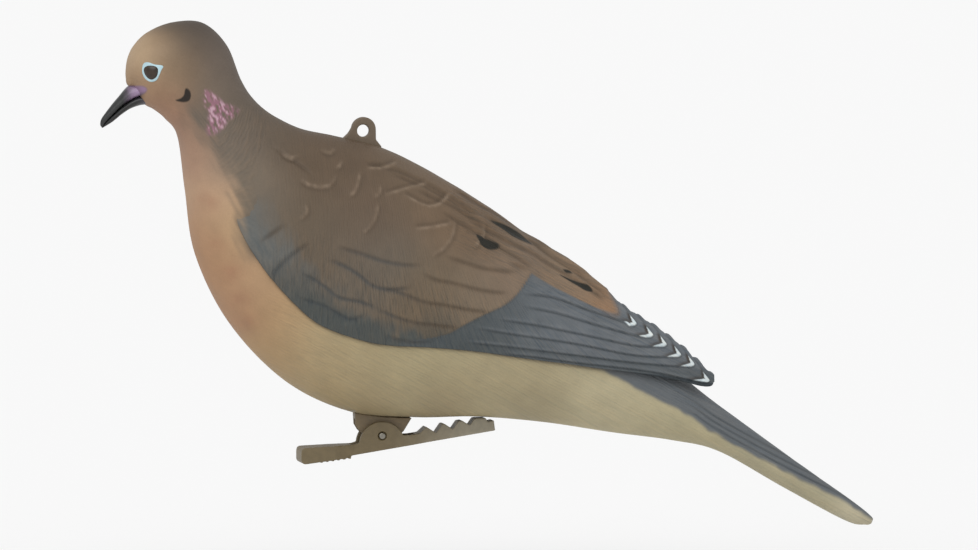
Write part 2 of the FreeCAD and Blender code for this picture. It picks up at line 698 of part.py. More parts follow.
def hinge_pin():
    rod = doc.addObject("Part::Cylinder", "pin_rod")
    bind(rod, Radius="Sizes.pin_radius", Height="Sizes.pin_length")
    place(rod, size("pivot_x"), size("pin_length") / 2, size("pivot_z"), Rotation(Vector(1, 0, 0), 90))
    doc.recompute()
    pin = doc.addObject("Part::Fillet", "hinge_pin")
    pin.Base = rod
    rims = [number for number, edge in enumerate(rod.Shape.Edges, start=1)
            if abs(abs(edge.CenterOfMass.y) - size("pin_length") / 2) < 0.01]
    pin.Edges = [(number, size("pin_dome"), size("pin_dome")) for number in rims]
    return pin


def torsion_spring():
    """Coil round the pin between the cheeks, one leg under the fork's roof and one on the lever."""
    radius = size("coil_radius")
    wire = size("wire_radius")
    turns = size("coil_whole_turns") + size("leg_spread_deg") / 360
    length = size("coil_pitch") * turns
    helix = Part.makeHelix(size("coil_pitch"), length, radius)
    start = Part.Wire([Part.Circle(Vector(radius, 0, 0), Vector(0, 1, 0), wire).toShape()])
    coil = Part.Wire(helix.Edges).makePipeShell([start], True, True)
    spread = math.radians(size("leg_spread_deg"))
    end = Vector(radius * math.cos(spread), radius * math.sin(spread), length)
    onward = Vector(-math.sin(spread), math.cos(spread), 0)
    # The legs start a little inside the coil's ends and are a shade thinner, so they join cleanly.
    leg_wire = size("leg_thinning") * wire
    inside = size("leg_sunk")
    fixed_leg = Part.makeCylinder(leg_wire, size("fixed_leg_length"), end - onward * inside, onward)
    moving_leg = Part.makeCylinder(leg_wire, size("moving_leg_length"), Vector(radius, inside, 0),
                                   Vector(0, -1, 0))
    feature = shape_feature("torsion_spring", coil.fuse([fixed_leg, moving_leg]))
    # Lay the coil's axis along the pin, then turn it until the fixed leg rises as it should.
    lay_down = Rotation(Vector(1, 0, 0), 90)
    turn = size("leg_spread_deg") + size("fixed_leg_rise_deg") - 90
    place(feature, size("pivot_x"), length / 2, size("pivot_z"),
          Rotation(Vector(0, 1, 0), turn) * lay_down)
    return feature


def main():
    fill_sheet()
    tab = hang_tab()
    nodes = bird_shells(tab)
    nodes += [tab, clip_bracket(), bracket_screws(), pin_recesses(clip_lever()), hinge_pin(),
              torsion_spring()]
    doc.recompute()
    for item in doc.Objects:
        if "Invalid" in item.State or "Error" in item.State:
            raise RuntimeError(f"{item.Label} did not compute: {item.State}")
    for node in nodes:
        if node.Shape.isNull() or not node.Shape.isValid():
            raise RuntimeError(f"{node.Label} has no valid shape")
    os.makedirs("parts", exist_ok=True)
    for node in nodes:
        node.Shape.exportStep(f"parts/{node.Label}.step")
        box = node.Shape.BoundBox
        print(f"{node.Label}: {len(node.Shape.Solids)} solid(s), {node.Shape.Volume / 1000:.2f} cm3, "
              f"x {box.XMin:.1f}..{box.XMax:.1f}, y {box.YMin:.1f}..{box.YMax:.1f}, "
              f"z {box.ZMin:.1f}..{box.ZMax:.1f}")


main()
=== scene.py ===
"""Looks of the clip-on dove decoy: painted body halves, wings, beak, eyes, tab and clip.

Lengths are millimetres in the row frame until a mesh is made, which turns them into metres.
The bird faces -X with +Z up.  Everything on its flanks is drawn in side view, as (x, z).  Each
half is worked out once, for the +Y side, and mirrored.
"""
import json
import math

import bmesh
import bpy
import numpy as np
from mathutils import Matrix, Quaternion, Vector


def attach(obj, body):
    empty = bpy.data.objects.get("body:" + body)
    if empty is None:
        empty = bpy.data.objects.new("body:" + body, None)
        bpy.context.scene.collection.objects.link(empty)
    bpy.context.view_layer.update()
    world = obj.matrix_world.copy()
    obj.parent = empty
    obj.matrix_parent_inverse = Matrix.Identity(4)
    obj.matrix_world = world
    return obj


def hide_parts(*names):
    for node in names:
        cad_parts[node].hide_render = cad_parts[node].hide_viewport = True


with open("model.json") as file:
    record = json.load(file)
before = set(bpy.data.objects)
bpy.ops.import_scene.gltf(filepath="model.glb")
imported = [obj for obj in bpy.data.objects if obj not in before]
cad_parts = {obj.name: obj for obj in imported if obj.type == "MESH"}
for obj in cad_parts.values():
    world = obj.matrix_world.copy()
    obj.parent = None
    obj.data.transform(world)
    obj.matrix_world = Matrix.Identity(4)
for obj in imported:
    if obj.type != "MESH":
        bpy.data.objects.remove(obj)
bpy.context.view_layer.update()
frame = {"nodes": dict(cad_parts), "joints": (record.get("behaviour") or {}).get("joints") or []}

MM = 0.001
SIDES = (("left", -1), ("right", 1))

# --- shape of the bird

# Rings of the body, tail first: highest point (x, z), lowest point (x, z), half width.
BODY_RINGS = np.array([
    (155.6, -34, 155, -35.6, 0.9), (154.8, -32.7, 153, -35.9, 2.6), (149, -28, 145.6, -34.3, 4.6),
    (129, -14.1, 123.6, -22.6, 7), (107.7, 1.1, 100.6, -9.9, 9.5), (93.5, 11.6, 84, -5.9, 12.3),
    (72, 29.5, 62, -3, 17.2), (50, 49, 38, 0.6, 23.6), (26, 70.3, 14, 2.6, 29.8),
    (0, 87, -8, 2.4, 32.8), (-20, 97, -31, 4.4, 33.4), (-37, 101.2, -54, 15.2, 31.9),
    (-50, 104, -73.9, 35.6, 28), (-60, 109.3, -86, 59.5, 22.3), (-66.2, 114.7, -89.8, 82, 17.3),
    (-70.6, 121.5, -92.6, 101, 14.4), (-75.6, 133.4, -97, 107.3, 14.4),
    (-84, 141.1, -101, 110.6, 14.8), (-94.5, 141.3, -103.6, 111.9, 14.3),
    (-103.2, 137.9, -105.2, 113.3, 12.8), (-108, 133.4, -106.6, 115.8, 10.2),
    (-110.3, 129, -108.2, 118.2, 7), (-111.1, 124.4, -109.7, 118.6, 3.8),
    (-111, 121, -110.7, 119.4, 0.8),
])
BODY_ROWS, BODY_COLUMNS = 500, 150
WING_ROWS, WING_COLUMNS = 440, 190
# How closely the rows of each mesh follow each other: ring number, density.
BODY_DENSITY = [(0, 0.9), (5, 0.8), (6.5, 0.55), (12, 0.6), (14, 1.2), (16, 1.8), (23, 1.8)]
WING_DENSITY = [(4.6, 1.7), (6.4, 1.7), (7.2, 1), (14.6, 1)]
DENSITY_STEPS = 4000
# Angles tried when looking for the wing's edge, and the number taken where a ring never crosses it.
ANGLE_STEPS, ANGLE_IF_NONE = 241, 200
SEAM_GAP = 0.04
HIDDEN_DEPTH = 0.5

# Over this stretch of x the folded wing leaves the body and becomes a blade of its own.  Rows of
# the blade: x, its upper edge (y, z), its lower edge (y, z), and how far it bulges between them.
BLADE_PART = (22, 48)
BLADE_EDGES = np.array([
    (20, 3, 74.2, 27.4, 25.6, 9.5), (34, 5, 66, 25.8, 23.6, 9), (44, 6.4, 59.2, 24.6, 22.2, 6.8),
    (54, 7.2, 51.6, 22.8, 20.7, 4.2), (64, 7.4, 42.9, 20.2, 19.5, 2.9),
    (74, 7.2, 36.3, 17.2, 18, 2.4), (84, 7, 29.4, 13.8, 16, 1.9), (92, 7, 22.9, 11, 13.9, 1.2),
    (96.2, 7.4, 18.8, 9.2, 13.7, 0.5), (97.4, 7.8, 17.2, 8.4, 15.2, 0.1),
])
# The body under the blade is sunk by this much, and under the rest of the wing by HIDDEN_DEPTH.
BLADE_ROOM = 1.8
SCALLOP_HEIGHT, SCALLOP_DEPTH = 0.5, 0.07

# The wing's rows lie between these rings of the body.  Its columns crowd together over this last
# share of its width, where the lower edge is rounded, at these parts of it.
WING_RINGS = (4.64, 14.4)
RIM_SHARE = 0.015
RIM_STEPS = np.array([0.75, 0.55, 0.38, 0.24, 0.13, 0.06, 0.02, 0])
RIM_RADIUS = 0.5
WING_WALL = 1.3

# --- lines drawn on the flanks

# Edge of the folded wing: down the shoulder, then back along the flank.
WING_EDGE = [
    (-58, 124), (-65.5, 115.5), (-72, 106), (-76.4, 95), (-77.2, 85), (-75.6, 76), (-71.6, 66.2),
    (-62.9, 53.3), (-52.6, 42.2), (-44.5, 36.1), (-31.5, 31.4), (-21.3, 29.5), (-7.6, 28.8),
    (10.4, 27.2), (30.8, 24), (51.9, 20.9), (80.3, 17.4), (96, 14.6), (110, 12),
]
COVERT_EDGE = [
    (29.7, 53.9), (24.4, 47.5), (19.2, 43.4), (12.2, 40.3), (5.2, 36.9), (-0.3, 33.9),
    (-6.4, 32.4), (-16, 31.4),
]
TERTIAL_EDGE = [
    (29.7, 53.9), (38.8, 48.8), (50.4, 43), (58, 39.4), (61.2, 38.8), (62.4, 40.2), (60.8, 44),
    (58.5, 48), (56, 54),
]
TAIL_EDGE = [
    (40, 24), (52, 21.2), (59, 18.3), (73.4, 10.8), (87.4, 3.7), (95.8, -2), (112.6, -11.2),
    (129.3, -19.8), (142.7, -26.4), (156, -34.5),
]
TAIL_GROOVES = (1.6, 3.4, 5.2)

# Lower edges of the wing coverts and tertials; each feather lies above its line.
FEATHER_LINES = [
    [(-11, 55.8), (-5.9, 52.9), (1.4, 51.4), (11, 48.9), (22, 47.4)],
    [(-25, 50.4), (-17, 48), (-9.7, 45.1), (-2.4, 44), (5, 42.5), (15, 41)],
    [(-26.5, 43.2), (-20.7, 40.4), (-12.7, 37.9), (-6.1, 37.2), (4, 35.8)],
    [(-44, 59.8), (-38.7, 58.2), (-32.3, 54.5), (-28, 51), (-22.1, 49.5), (-12.6, 50.1)],
    [(-41, 64.6), (-35.7, 63), (-31.4, 61.8), (-24.2, 59.4), (-16.8, 58), (-9.5, 57.6)],
    [(-53.6, 54.8), (-48.8, 53.4), (-43.9, 50.2), (-38.9, 46.6), (-31.7, 45.2), (-25, 42.4)],
    [(-53.8, 46.6), (-44.7, 43.9), (-39, 40.9), (-34.7, 39), (-29.2, 41)],
    [(-62.2, 50.6), (-61.2, 55.6), (-56, 61.2), (-48.6, 66.2)],
    [(-67.6, 64.6), (-63, 68.4), (-57, 72.4)],
    [(-2.4, 61), (5.5, 58.5), (12.7, 56.3), (25.4, 54.6)],
    [(7, 73.4), (21.3, 65.2), (36, 58), (50.9, 49.2), (59, 43.4)],
    [(13, 74), (32.6, 63.6), (42.2, 58), (53, 51)], [(-3, 76.4), (8, 70), (20, 62.5), (31, 55)],
    [(20, 58.6), (30, 54.8)], [(-24, 33.4), (-14, 31.2), (-4, 31.4)],
    [(-62, 99), (-52, 92), (-47, 88)], [(-12, 84), (4, 76.4), (16, 68.6)],
    [(2, 83), (14, 76.6), (26, 69.4), (40, 60.6)], [(-30, 93.5), (-14, 88.5), (0, 81), (12, 73.4)],
    [(-20, 89.5), (-6, 83.4), (8, 75.4)], [(27, 67.6), (40, 59), (52, 50.6), (60, 44.4)],
]

# Pale, dry-brushed lips of the back's feathers; each feather lies to the left of its line.
PALE_TIPS = [
    [(-40.1, 90.2), (-37.8, 91.5), (-36.4, 93.8)],
    [(-52.8, 87), (-48.5, 84.8), (-43, 84.6), (-40.4, 86.4), (-39.7, 89)],
    [(-35.8, 80.7), (-32.6, 83.6), (-30.4, 90)], [(-26.9, 80.4), (-24.4, 82.4), (-23.4, 85.8)],
    [(-31.2, 68.4), (-28.2, 70.8), (-26, 74.9), (-24.8, 79.6)],
    [(-16.2, 92.6), (-21.8, 90.8), (-28.8, 90.8)], [(-6.4, 85.2), (-14, 83.9), (-22.8, 81.8)],
    [(1.6, 81.6), (-2.8, 78.4), (-8.2, 77.9), (-16.4, 82)],
    [(-6.8, 60.3), (-1.4, 64), (1.6, 68.6), (2.8, 73)], [(1.4, 71.8), (-6, 70.6), (-13, 70.2)],
    [(-44.6, 97), (-41, 95.8), (-38.2, 97.4)], [(-59, 96.4), (-55, 94), (-51.4, 95.4)],
    [(8, 62.4), (12.4, 66.8), (13.2, 71.6)], [(-54, 72.6), (-50.4, 75.4), (-50.6, 79)],
]

# The six primaries: their lower edges, their tips and how an edge turns round a tip.
PRIMARY_LINES = [
    [(24.3, 47.4), (38.4, 45.6), (51.5, 40.9), (63.4, 37)],
    [(24.2, 43.1), (38.3, 40.5), (52.6, 36.3), (66.8, 32.3)],
    [(15, 38.8), (31.1, 36.3), (49, 32.6), (66.7, 28.7)],
    [(7.3, 35.9), (24, 33.1), (45.3, 29.7), (66.5, 25.3)],
    [(3.8, 30.9), (20.5, 29.1), (45.2, 25.7), (66.4, 22.7)],
    [(16.9, 26.8), (30.8, 25.3), (45, 23.1), (73.3, 19.4)],
]
PRIMARY_TIPS = [(69, 35.8), (74.8, 31.7), (79.7, 28.4), (84.9, 24.8), (89.9, 21.4), (95.6, 15.8)]
TIP_SPACING = 5.32
TIP_ROUND = [
    (-3, -0.75), (-1.1, -0.75), (-0.15, -0.35), (0, 0.1), (-0.5, 0.9), (-2.2, 3), (-4.4, 6),
    (-8, 11),
]
CRESCENT_WIDTH = 1.7
CRESCENT_REACH = (6, 4.2)
# The last primary shows a longer and broader crescent.
LAST_GROWN = 1.25

# Dark spots as outlines.
SPOTS = [
    [(9.7, 67.8), (11, 67.1), (14.6, 65.6), (18, 64), (17.8, 62.8), (15.8, 62.3), (12.8, 63),
     (10.6, 65.4)],
    [(15.8, 72), (20.4, 70.4), (25.6, 67.8), (31.4, 63.8), (30.4, 63.3), (24.6, 65.8), (20.8, 68.4)],
    [(40.9, 53.3), (45, 51.4), (49.4, 50.1), (51.6, 49.2), (53.2, 47.3), (50.4, 47.5), (47.8, 48.9),
     (44.4, 50.8)],
    [(42.6, 54.7), (44.8, 54.2), (45.6, 53.2), (43.6, 53.7)],
]

CHEEK_MARK = [
    (-94.8, 114.6), (-93.2, 115.2), (-92.1, 116.3), (-91.8, 118.2), (-91.2, 118.7), (-90, 117.6),
    (-89.7, 115.8), (-90.3, 114.3), (-92, 113.8), (-93.8, 114.1),
]
PINK_PATCH = [
    (-84.4, 117.9), (-81.4, 116.1), (-78.9, 113.8), (-73.1, 110.7), (-77.1, 107.6), (-78.9, 104.9),
    (-83, 102.6), (-83.9, 104.9), (-83, 109.4), (-84.9, 114.3),
]
# Violet skin where the beak runs back into the face.
CERE = [(-112, 118.4), (-109, 118.8), (-106.4, 119), (-105, 118.2), (-105.2, 117), (-106, 115.8),
        (-106.4, 114.2), (-108.4, 114), (-112, 115.2)]
EYE_CENTRE = (-103.7, 124.1)
EYE_OUTLINE = [
    (-2.4, 1.4), (-1.2, 2.45), (1.2, 2.4), (2.4, 1.4), (2.35, -0.5), (1.6, -1.9), (0.2, -2.6),
    (-1.2, -1.9), (-2.25, -0.3),
]
LID_OUTLINE = [
    (-2.8, 1.9), (-2.2, 3.3), (-0.8, 3.6), (1.2, 2.9), (4.1, 2.4), (3.5, 0.7), (2.8, -1.1),
    (2, -2.6), (0.3, -3.3), (-1.5, -2.6), (-2.7, -0.5),
]
# The lid and the eye start below the face.  Rings of the lid: share of its outline, height.
SKIRT = -0.6
LID_PROFILE = [(1, SKIRT), (1, 0.02), (0.97, 0.16), (0.9, 0.26), (0.6, 0.28), (0.3, 0.1)]
EYE_RISE, EYE_RINGS, LOOP_STEPS = 0.95, 14, 8
# The surface under the eye is fitted within this reach of its centre, to this order.
EYE_SURROUND, FIT_ORDER = 6.5, 3

# --- paint, as sRGB 0 to 255

# Soft colours: (x, z, reach, red, green, blue), each the paint at that place with the light and shade
# that fall there painted in as well.  Places with a shorter reach count only nearby.
BREAST_COLOUR_AND_SHADE = [
    (-87, 140, 8, 72, 65, 59), (-97, 141, 4, 88, 77, 65), (-100, 134, 4, 146, 123, 98),
    (-109, 130, 5, 172, 149, 122), (-104, 132, 4, 160, 137, 110), (-109, 122, 4, 142, 117, 91),
    (-105, 118, 4, 150, 122, 97), (-97, 115, 5, 146, 118, 94), (-97, 126, 5, 140, 118, 94),
    (-91, 123, 5, 124, 104, 84), (-92, 131, 5, 108, 92, 76), (-80, 130, 7, 106, 95, 86),
    (-78, 120, 6, 106, 95, 85), (-84, 117, 5, 112, 98, 84), (-68, 112, 6, 100, 90, 80),
    (-99, 110, 5, 146, 112, 92), (-94, 105, 5, 148, 116, 96), (-87, 107, 4, 128, 108, 92),
    (-80, 104, 5, 110, 97, 84), (-85, 97, 5, 146, 120, 100), (-90, 93, 5, 160, 127, 106),
    (-80, 92, 4, 136, 118, 100), (-85, 80, 7, 168, 139, 113), (-89, 68, 6, 156, 118, 90),
    (-77, 68, 7, 167, 140, 108), (-82, 54, 7, 155, 117, 87), (-71, 52, 7, 168, 138, 107),
    (-74, 38, 7, 156, 118, 90), (-62, 38, 8, 164, 136, 102), (-60, 24, 8, 156, 128, 93),
    (-46, 26, 9, 166, 149, 116), (-44, 12, 9, 152, 132, 98), (-30, 18, 10, 160, 146, 114),
    (-26, 7, 6, 138, 122, 93), (-4, 5, 7, 136, 122, 95), (-10, 15, 10, 160, 148, 117),
    (25, 13, 12, 160, 148, 118), (32, 4, 7, 143, 133, 108), (58, 8, 12, 172, 162, 133),
    (85, -4, 13, 164, 155, 126), (120, -20, 13, 160, 152, 126), (150, -35, 6, 172, 164, 140),
]
# The brown of the back and wings, likewise with its light and shade painted in.
BACK_COLOUR_AND_SHADE = [
    (-72, 104, 8, 104, 93, 82), (-60, 104, 8, 94, 83, 71), (-50, 96, 9, 94, 79, 64),
    (-35, 88, 11, 92, 77, 62), (-68, 86, 7, 110, 98, 84), (-66, 76, 7, 100, 91, 80),
    (-52, 76, 8, 92, 79, 64), (-44, 68, 8, 97, 86, 73), (-25, 58, 9, 98, 89, 78),
    (-30, 76, 9, 95, 80, 66), (-12, 92, 9, 106, 90, 73), (0, 76, 9, 108, 90, 72),
    (-8, 48, 8, 104, 90, 73), (-4, 36, 4, 80, 76, 68), (8, 46, 8, 114, 100, 84),
    (15, 68, 8, 104, 87, 70), (22, 55, 7, 124, 107, 91), (32, 66, 7, 118, 100, 82),
    (40, 54, 7, 124, 106, 88), (50, 47, 5, 134, 112, 91), (57, 41, 3.5, 148, 117, 90),
    (60, 46, 4, 122, 102, 84),
]
SHOULDER_BLUE = (92, 95, 94)
BEND_BLUE = (70, 75, 74)
BLUE_FRONT = (71, 76, 77)
BLUE_GREY = (95, 100, 104)
BLUE_PALE = (107, 111, 115)
EDGE_SHADE = (72, 64, 54)
# Slate: a dark line of paint along the feathers' grooves, with painted shade in the grooves as well.
SLATE_LINE_AND_SHADE = (62, 67, 70)
# Painted shade under the thick lower rim of the wing's blade.
UNDERSIDE_SHADE = (52, 58, 62)
# Umber: a dark line of paint along the grooves of the brown feathers, with painted shade in them as
# well.
UMBER_LINE_AND_SHADE = (74, 62, 50)
SPOT_BLACK = (42, 41, 36)
CRESCENT_WHITE = (205, 214, 215)
CRESCENT_RIM = (58, 50, 43)
PALE_TIP = (142, 124, 106)
TAIL_GREY = (97, 101, 104)
RUMP_GREY = (92, 86, 80)
PINK = (150, 104, 122)
PINK_FLECK = (200, 166, 178)
MARK_BLACK = (44, 38, 34)
CERE_VIOLET = (146, 118, 146)
CERE_DARK = (78, 74, 82)
BLOTCH = (146, 104, 82)
EYE_DARK, EYE_BROWN = (24, 21, 18), (66, 52, 38)
LID_BLUE = (172, 200, 208)
CLIP_BROWN, CLIP_PALE_GREY = (101, 88, 62), (135, 128, 111)
BRACKET_BROWN = (108, 93, 69)
TAB_BROWN = (100, 86, 70)
ZINC = (150, 146, 136)
# Upper and lower half of the beak: the horn and the skin at its base.
UPPER_HORN, UPPER_BASE = (38, 39, 39), (152, 128, 158)
LOWER_HORN, LOWER_BASE = (30, 31, 31), (70, 64, 74)
# Faint blotches down the breast.
BLOTCHES = [(-84, 79), (-80.5, 64), (-75.6, 54.4), (-72.4, 45), (-69.5, 37)]
BLOTCH_REACH = 3.4
# How far the upright strokes lean back, as (x, lean), from this height, and the lengthwise slope.
STROKE_LEAN = [(-95, 0.6), (-80, 0.55), (-62, 0.05), (-40, 0), (0, 0.3), (30, 0.7), (60, 1), (100, 1.1)]
STROKE_LEVEL, GRAIN_SLOPE = 42, 0.52
# Where the brown of the neck gives way to the warm breast.
NECK_FADE = [
    (-96, 120), (-92, 113), (-88, 106), (-81.5, 98.6), (-77, 90), (-74, 81), (-72.4, 72),
    (-72, 60),
]


def linear(colour):
    """An sRGB colour, 0 to 255, as linear numbers."""
    values = np.asarray(colour, dtype=float) / 255
    return np.where(values <= 0.04045, values / 12.92, ((values + 0.055) / 1.055) ** 2.4)


# --- numbers and lines

def ease(value, low, high):
    part = np.clip((value - low) / (high - low), 0, 1)
    return part * part * (3 - 2 * part)


def bump(value, width):
    return np.exp(-(value / width) ** 2)


def spline(points, where):
    """Catmull-Rom curve through the rows of points, at the given row numbers."""
    points = np.asarray(points, dtype=float)
    padded = np.vstack([2 * points[0] - points[1], points, 2 * points[-1] - points[-2]])
    where = np.clip(np.asarray(where, dtype=float), 0, len(points) - 1)
    span = np.minimum(where.astype(int), len(points) - 2)
    t = (where - span)[:, None]
    before, start, end, after = (padded[span + step] for step in range(4))
    return 0.5 * (2 * start + (end - before) * t
                  + (2 * before - 5 * start + 4 * end - after) * t ** 2
                  + (3 * start - before - 3 * end + after) * t ** 3)


def smooth_line(points, steps=4):
    return spline(points, np.linspace(0, len(points) - 1, (len(points) - 1) * steps + 1))


def smooth_loop(points, steps=4):
    """Closed smooth curve through the points."""
    around = list(points[-2:]) + list(points) + list(points[:3])
    return spline(around, 2 + np.arange(len(points) * steps) / steps)


def line_distance(x, z, line):
    """Distance to a line, + on its left, with the length along it and the line's length."""
    best = np.full(x.shape, 1e9)
    signed = np.zeros(x.shape)
    along = np.zeros(x.shape)
    gone = 0.0
    for (ax, az), (bx, bz) in zip(line[:-1], line[1:]):
        dx, dz = bx - ax, bz - az
        length = math.hypot(dx, dz)
        part = np.clip(((x - ax) * dx + (z - az) * dz) / length ** 2, 0, 1)
        gap = np.hypot(x - ax - part * dx, z - az - part * dz)
        nearer = gap < best
        best = np.where(nearer, gap, best)
        side = np.where(dx * (z - az) - dz * (x - ax) >= 0, 1, -1)
        signed = np.where(nearer, gap * side, signed)
        along = np.where(nearer, gone + part * length, along)
        gone += length
    return signed, along, gone


def region_depth(x, z, outline):
    """Depth inside a closed outline, negative outside it."""
    closed = list(outline) + [outline[0]]
    gap = line_distance(x, z, closed)[0]
    inside = np.zeros(x.shape, dtype=bool)
    for (ax, az), (bx, bz) in zip(closed[:-1], closed[1:]):
        if az == bz:
            continue
        crosses = (az > z) != (bz > z)
        inside ^= crosses & (x < (bx - ax) * (z - az) / (bz - az) + ax)
    return np.where(inside, np.abs(gap), -np.abs(gap))


LATTICE_SIZE = 128
NOISE_ORIGIN = (500.3, 700.7)
LATTICE = np.random.default_rng(7).random((LATTICE_SIZE, LATTICE_SIZE))


def noise(x, z, size):
    """Smooth value noise from 0 to 1, with lumps of about the given size."""
    u, v = np.asarray(x) / size + NOISE_ORIGIN[0], np.asarray(z) / size + NOISE_ORIGIN[1]
    i, j = np.floor(u).astype(int), np.floor(v).astype(int)
    s, t = ease(u - i, 0, 1), ease(v - j, 0, 1)
    here, next_i = i % LATTICE_SIZE, (i + 1) % LATTICE_SIZE
    near, far = (LATTICE[here, row] * (1 - s) + LATTICE[next_i, row] * s
                 for row in (j % LATTICE_SIZE, (j + 1) % LATTICE_SIZE))
    return near * (1 - t) + far * t


def end_fade(along, length, reach):
    """1 along a line, easing to 0 at both its ends."""
    return ease(along, 0, reach) * ease(length - along, 0, reach)


# --- measures of the flanks

def primary_edge(lower, tip):
    """Lower edge of a primary, round its tip and up to the top of the wing."""
    turn = [(tip[0] + dx, tip[1] + dz) for dx, dz in TIP_ROUND]
    return np.vstack([smooth_line(lower + turn[:1]), smooth_line(turn)[1:]])


PRIMARY_EDGES = [primary_edge(lower, tip) for lower, tip in zip(PRIMARY_LINES, PRIMARY_TIPS)]
WING_CURVE = smooth_line(WING_EDGE)
TAIL_CURVE = smooth_line(TAIL_EDGE)
# Everything above the covert and tertial edges, as one closed outline.
BROWN_OUTLINE = np.vstack([smooth_line(TERTIAL_EDGE)[::-1], smooth_line(COVERT_EDGE)[1:],
                           [(-40, 20), (-120, 60), (-60, 200), (90, 120), (58, 60)]])


class Flank:
    """The measures that relief and paint share, worked out once for a set of points."""

    def __init__(self, grid, normal):
        self.x, self.z = grid[..., 0], grid[..., 2]
        self.facing = ease(np.abs(normal[..., 1]), 0.1, 0.4)
        self.wing = line_distance(self.x, self.z, WING_CURVE)[0]
        self.tail = line_distance(self.x, self.z, TAIL_CURVE)[0]
        self.brown = region_depth(self.x, self.z, BROWN_OUTLINE)
        self.front = ease(self.z, 60, 82) * ease(-self.x, 50, 60)


def edge_measures(flank, lines):
    return [line_distance(flank.x, flank.z, smooth_line(line)) for line in lines]


def primary_measures(flank):
    """For each primary: depth inside its edge, its fade near the coverts, length past its tip."""
    measures = []
    for edge, tip in zip(PRIMARY_EDGES, PRIMARY_TIPS):
        signed, along, _ = line_distance(flank.x, flank.z, edge)
        tip_along = line_distance(np.array(tip[:1]), np.array(tip[1:]), edge)[1][0]
        measures.append((signed, ease(along, 0, 9), along - tip_along))
    return measures


# --- relief

# Lips of the feathers: where the step starts and ends, how far it dies away and how high it is,
# then the depth, place and width of the groove outside it.
TERTIAL_LIP = (-0.25, 0.35, 9, 0.55, 0, 0, 1)
PRIMARY_LIP = (-0.2, 0.35, 3, 0.42, 0.22, 0.15, 0.35)
COVERT_LIP = (-0.4, 0.5, 3.4, 0.46, 0.24, 0.3, 0.7)
MANTLE_LIP = (-0.5, 0.3, 3.6, 0.36, 0.15, 0.7, 0.6)
SEAM_GROOVE, SEAM_WIDTH = 0.14, 0.3
# Eye socket, cheek and brow: place (x, z), reach (x, z) and height.
HEAD_FORMS = [(*EYE_CENTRE, 5.4, 5, -0.7), (-97, 116, 6, 5, 0.5), (-103, 132, 5, 3, 0.35)]


def head_relief(x, z):
    return sum(height * bump(x - form_x, wide) * bump(z - form_z, high)
               for form_x, form_z, wide, high, height in HEAD_FORMS)


def body_relief(flank):
    x, z = flank.x, flank.z
    tail_end = ease(x, 84, 98)
    height = head_relief(x, z) + 0.12 * (noise(x + z, z * 2.5 + x, 2.6) - 0.5)
    for offset in TAIL_GROOVES:
        height -= 0.22 * tail_end * ease(flank.tail, -0.2, 0.5) * bump(flank.tail - offset, 0.35)
    return height + 0.2 * tail_end * ease(flank.tail, -0.3, 0.3)


def seam_groove(grid):
    """The fine groove where the two halves meet."""
    return SEAM_GROOVE * bump(grid[..., 1], SEAM_WIDTH)


def lip(signed, low, high, decay, rise, groove, place, width):
    """A feather's edge: a step up that dies away inwards, and a groove outside it."""
    step = ease(signed, low, high) * np.exp(-np.maximum(signed, 0) / decay)
    return rise * step - groove * bump(signed + place, width)


def wing_relief(flank, feathers, tips, primaries):
    x, z = flank.x, flank.z
    height = lip(flank.brown, *TERTIAL_LIP) * ease(x, -22, 4)
    covered = ease(-flank.brown, -1.2, 0)
    for signed, fade, _ in primaries:
        height += fade * covered * lip(signed, *PRIMARY_LIP)
    for measures, reach, shape in ((feathers, 4, COVERT_LIP), (tips, 2.5, MANTLE_LIP)):
        for signed, along, length in measures:
            height += end_fade(along, length, reach) * lip(signed, *shape)
    mantle = ease(z + 0.45 * x, 44, 62)
    return height + 0.5 * mantle * (noise(x, z, 8) - 0.5) * (1 - flank.front)


def wing_lift(flank):
    """How far the wing stands off the body: a clear step, but sunk into the neck in front."""
    step = 0.35 + 0.6 * np.exp(-np.maximum(flank.wing, 0) / 24)
    sunk = -0.5 + 0.85 * ease(flank.wing, 0, 16)
    return (step * (1 - flank.front) + sunk * flank.front) * (0.45 + 0.55 * flank.facing)


# --- paint

def blend_colours(x, z, places):
    """Blend soft places of colour, the nearest ones counting most."""
    total = np.zeros(x.shape + (3,))
    weight = np.zeros(x.shape)
    for place_x, place_z, reach, *colour in places:
        near = np.exp(-((x - place_x) ** 2 + (z - place_z) ** 2) / (2 * reach ** 2)) + 1e-9
        total += near[..., None] * linear(colour)
        weight += near
    return total / weight[..., None]


def laid(paint, *layers):
    """The paint under further layers, each one a colour and its amount."""
    for colour, amount in layers:
        amount = np.clip(amount, 0, 1)[..., None]
        paint = paint * (1 - amount) + linear(colour) * amount
    return paint


def patch(x, z, outline, low, high):
    """0 to 1 across the soft edge of a smooth closed outline, between two depths."""
    return ease(region_depth(x, z, smooth_loop(outline)), low, high)


def neck_brown(flank):
    """1 on the brown of the neck and back, 0 on the breast, with a ragged soft edge."""
    x, z = flank.x, flank.z
    signed = line_distance(x, z, smooth_line(NECK_FADE))[0]
    ragged = 4 * (noise(x + 0.5 * z, z * 0.3, 1.5) - 0.5) + 3 * (noise(x, z, 6) - 0.5)
    return ease(signed + ragged, -4.5, 4) * ease(z, 56, 64) * ease(z, 118, 108)


def neck_marks(colour, flank):
    """The iridescent patch, the violet skin by the beak and the dark mark on the cheek."""
    x, z = flank.x, flank.z
    pink = patch(x, z, PINK_PATCH, -1.3, 1)
    streak = 0.75 * noise((x + 0.55 * z) * 1.8, (z - 0.5 * x) * 0.5, 1) + 0.25 * noise(x, z, 0.8)
    cere = 0.85 * patch(x, z, CERE, -0.6, 0.5)
    return laid(
        colour, (PINK, 0.75 * pink * ease(streak, 0.22, 0.5)),
        (PINK_FLECK, 0.7 * pink * ease(streak, 0.56, 0.7)), (CERE_DARK, cere),
        (CERE_VIOLET, cere * ease(z - 0.3 * (x + 106), 115.6, 117.6)),
        (MARK_BLACK, patch(x, z, CHEEK_MARK, -0.2, 0.2)))


